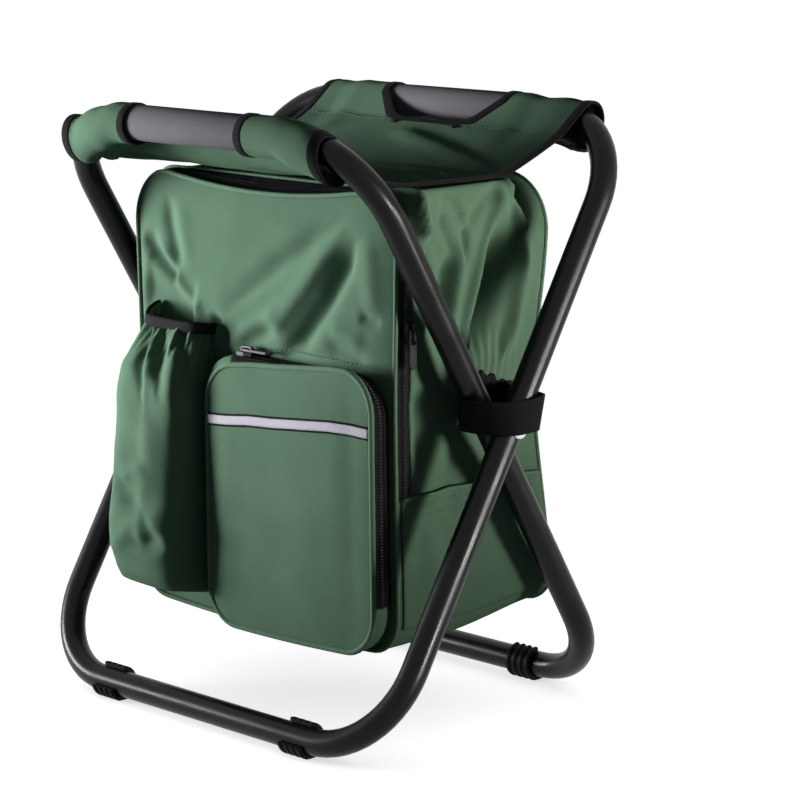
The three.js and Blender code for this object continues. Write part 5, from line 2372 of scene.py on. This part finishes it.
@dataclass
class Straps(Assembly):
    """Webbing round the frame's crossing on each side, and the two shoulder straps."""

    low: float = 207.46
    webbing: float = 22.0
    thick: float = 1.6
    route: tuple[Point2, ...] = (
        (125.5, 14), (128.0, 2), (136.2, -12), (139.5, -19.5), (147.0, -23.6), (156.3, -23.2),
        (170, -17.5), (179.6, -9), (181.0, 6), (180.6, 17), (177.5, 23.5), (171, 27),
        (150, 31), (129, 38), (125.0, 47),
    )
    route_points: int = 90
    crossing: Point2 = (150.0, 4.0)
    patch_low: float = 205.0
    patch_high: float = 238.0
    patch_size: Point2 = (60.0, 33.0)
    patch_thick: float = 0.8
    pad_x: float = 62.0
    pad: tuple[float, float, float, int] = (52.0, 9.0, 3.6, 5)
    pad_run: Point2 = (100.0, 184.0)
    pad_bow: Point2 = (5.1, 15.0)
    tail: Point3 = (25.0, 1.6, 0.7)
    tail_run: Point2 = (22.0, 84.0)
    tail_bow: Point2 = (3.4, 1.5)

    def build(self) -> None:
        """Builds both sides."""
        for side, sign in SIDES:
            self.frame_strap(side, sign)
            self.patch(side, sign)
            self.shoulder(side, sign)

    def frame_strap(self, side: str, sign: int) -> None:
        """Runs a band from one seam on the bag to the other, narrower at its lower edge.

        Args:
            side: Which side it is on.
            sign: -1 on the left, 1 on the right.
        """
        line = rounded(self.route, self.route_points, 5)
        last = self.route_points - 1

        def surface(u: Array, v: Array) -> Array:
            """Points along the route, snug round the legs."""
            at = np.rint(u * last).astype(int)
            x, y = line[at, 0], line[at, 1]
            snug = ease(134, 150, x)
            y = y * (1 - 0.24 * snug * (1 - v))
            z = self.low + self.webbing * v + 0.7 * np.sin(y * 0.05) * snug
            return stack(sign * x, y, z)

        name, size = f"frame_strap_{side}", (self.webbing, length_of(line))
        band = sheet(name + "_webbing", last, 10, surface, size)
        x, y = self.crossing
        turn_out(band, sign * X_AXIS, origin=(sign * x, y, self.low))
        soften(thicken(band, self.thick, 0.0), 60)
        self.place(band, BLACK_WEBBING, Body.BAG, name)

    def patch(self, side: str, sign: int) -> None:
        """Sews a black webbing patch on the bag's side where the strap crosses it, under the
        gathered cloth.

        Args:
            side: Which side it is on.
            sign: -1 on the left, 1 on the right.
        """
        low, high = (FORM.outline.right_share(z) for z in (self.patch_low, self.patch_high))

        def surface(u: Array, v: Array) -> Array:
            """Points from front to back, with a gathered upper edge."""
            drop = 0.35 * ease(0.3, 1.0, u) + 0.05 * np.sin(u * 31)
            points = FORM.shell(low + (high - low) * v * (1 - drop), 4 + 60 * u, -1.2)
            return points * np.array([sign, 1, 1])

        self.lay(
            f"strap_patch_{side}", (60, 16), surface, self.patch_size, self.patch_thick,
            BLACK_WEBBING, Body.BAG, outwards=sign * X_AXIS,
        )

    def run(self, x: float, span: Point2, bow: Point2, count: int) -> Array:
        """A line up the back.

        Args:
            x: Its place across the back.
            span: Where it starts, and how far it runs.
            bow: How far it stands off at its ends, and how much more in its middle.
            count: How many points it has.

        Returns:
            Its points.
        """
        t = np.linspace(0, 1, count)
        out, along = bow[0] + bow[1] * np.sin(math.pi * t), span[0] + span[1] * t
        height = FORM.outline.high - FORM.outline.low
        tilt = math.atan2(FORM.back_low - FORM.back_high, height)
        y = FORM.back_low + out * math.cos(tilt) - along * math.sin(tilt)
        z = FORM.outline.low + out * math.sin(tilt) + along * math.cos(tilt)
        return stack(x, y, z)

    def shoulder(self, side: str, sign: int) -> None:
        """Hangs a padded strap that bows off the back, and the tail that it runs down to.

        Args:
            side: Which side it is on.
            sign: -1 on the left, 1 on the right.
        """
        path = self.run(sign * self.pad_x, self.pad_run, self.pad_bow, 60)
        up = unit(np.array([0, 1.0, 0.08]))
        pad = strip(f"shoulder_strap_{side}", path, up, slab(*self.pad))
        modify(pad, "SUBSURF", levels=1, render_levels=1)
        self.place(soften(pad), BLACK_MESH, Body.BAG, f"shoulder_pad_{side}")
        path = self.run(sign * self.pad_x, self.tail_run, self.tail_bow, 24)
        tail = strip(f"tail_webbing_{side}", path, Y_AXIS, slab(*self.tail))
        self.place(tail, BLACK_WEBBING, Body.BAG, f"strap_tail_{side}")


@dataclass
class Sliders(Assembly):
    """Finishes of the small hard pieces that keep their solids."""

    metal: tuple[str, ...] = ("main_slider", "main_pull", "pocket_slider", "pocket_pull")
    moulded: tuple[str, ...] = ("strap_adjuster_left", "strap_adjuster_right")

    def build(self) -> None:
        """Gives each solid its material."""
        for names, finish in ((self.metal, SLIDER), (self.moulded, NYLON)):
            for name in names:
                solid = bpy.data.objects[name]
                solid.data.materials.clear()
                solid.data.materials.append(finish.make())
                LOG.info("%s: solid kept", name)


def main() -> None:
    """Builds the stool piece by piece."""
    logging.basicConfig(level=logging.INFO, format="%(name)s %(message)s")
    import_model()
    solid_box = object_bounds()
    Studio().build()
    Frame().build()
    SeatSling().build()
    Bag().build()
    Lining().build()
    ZipPocket().build()
    BottlePocket().build()
    Straps().build()
    Sliders().build()
    bpy.context.view_layer.update()
    boxes = {
        name: [list(corner) for corner in box]
        for name, box in (("cad", solid_box), ("visual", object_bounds()))
    }


if __name__ == "__main__":
    main()
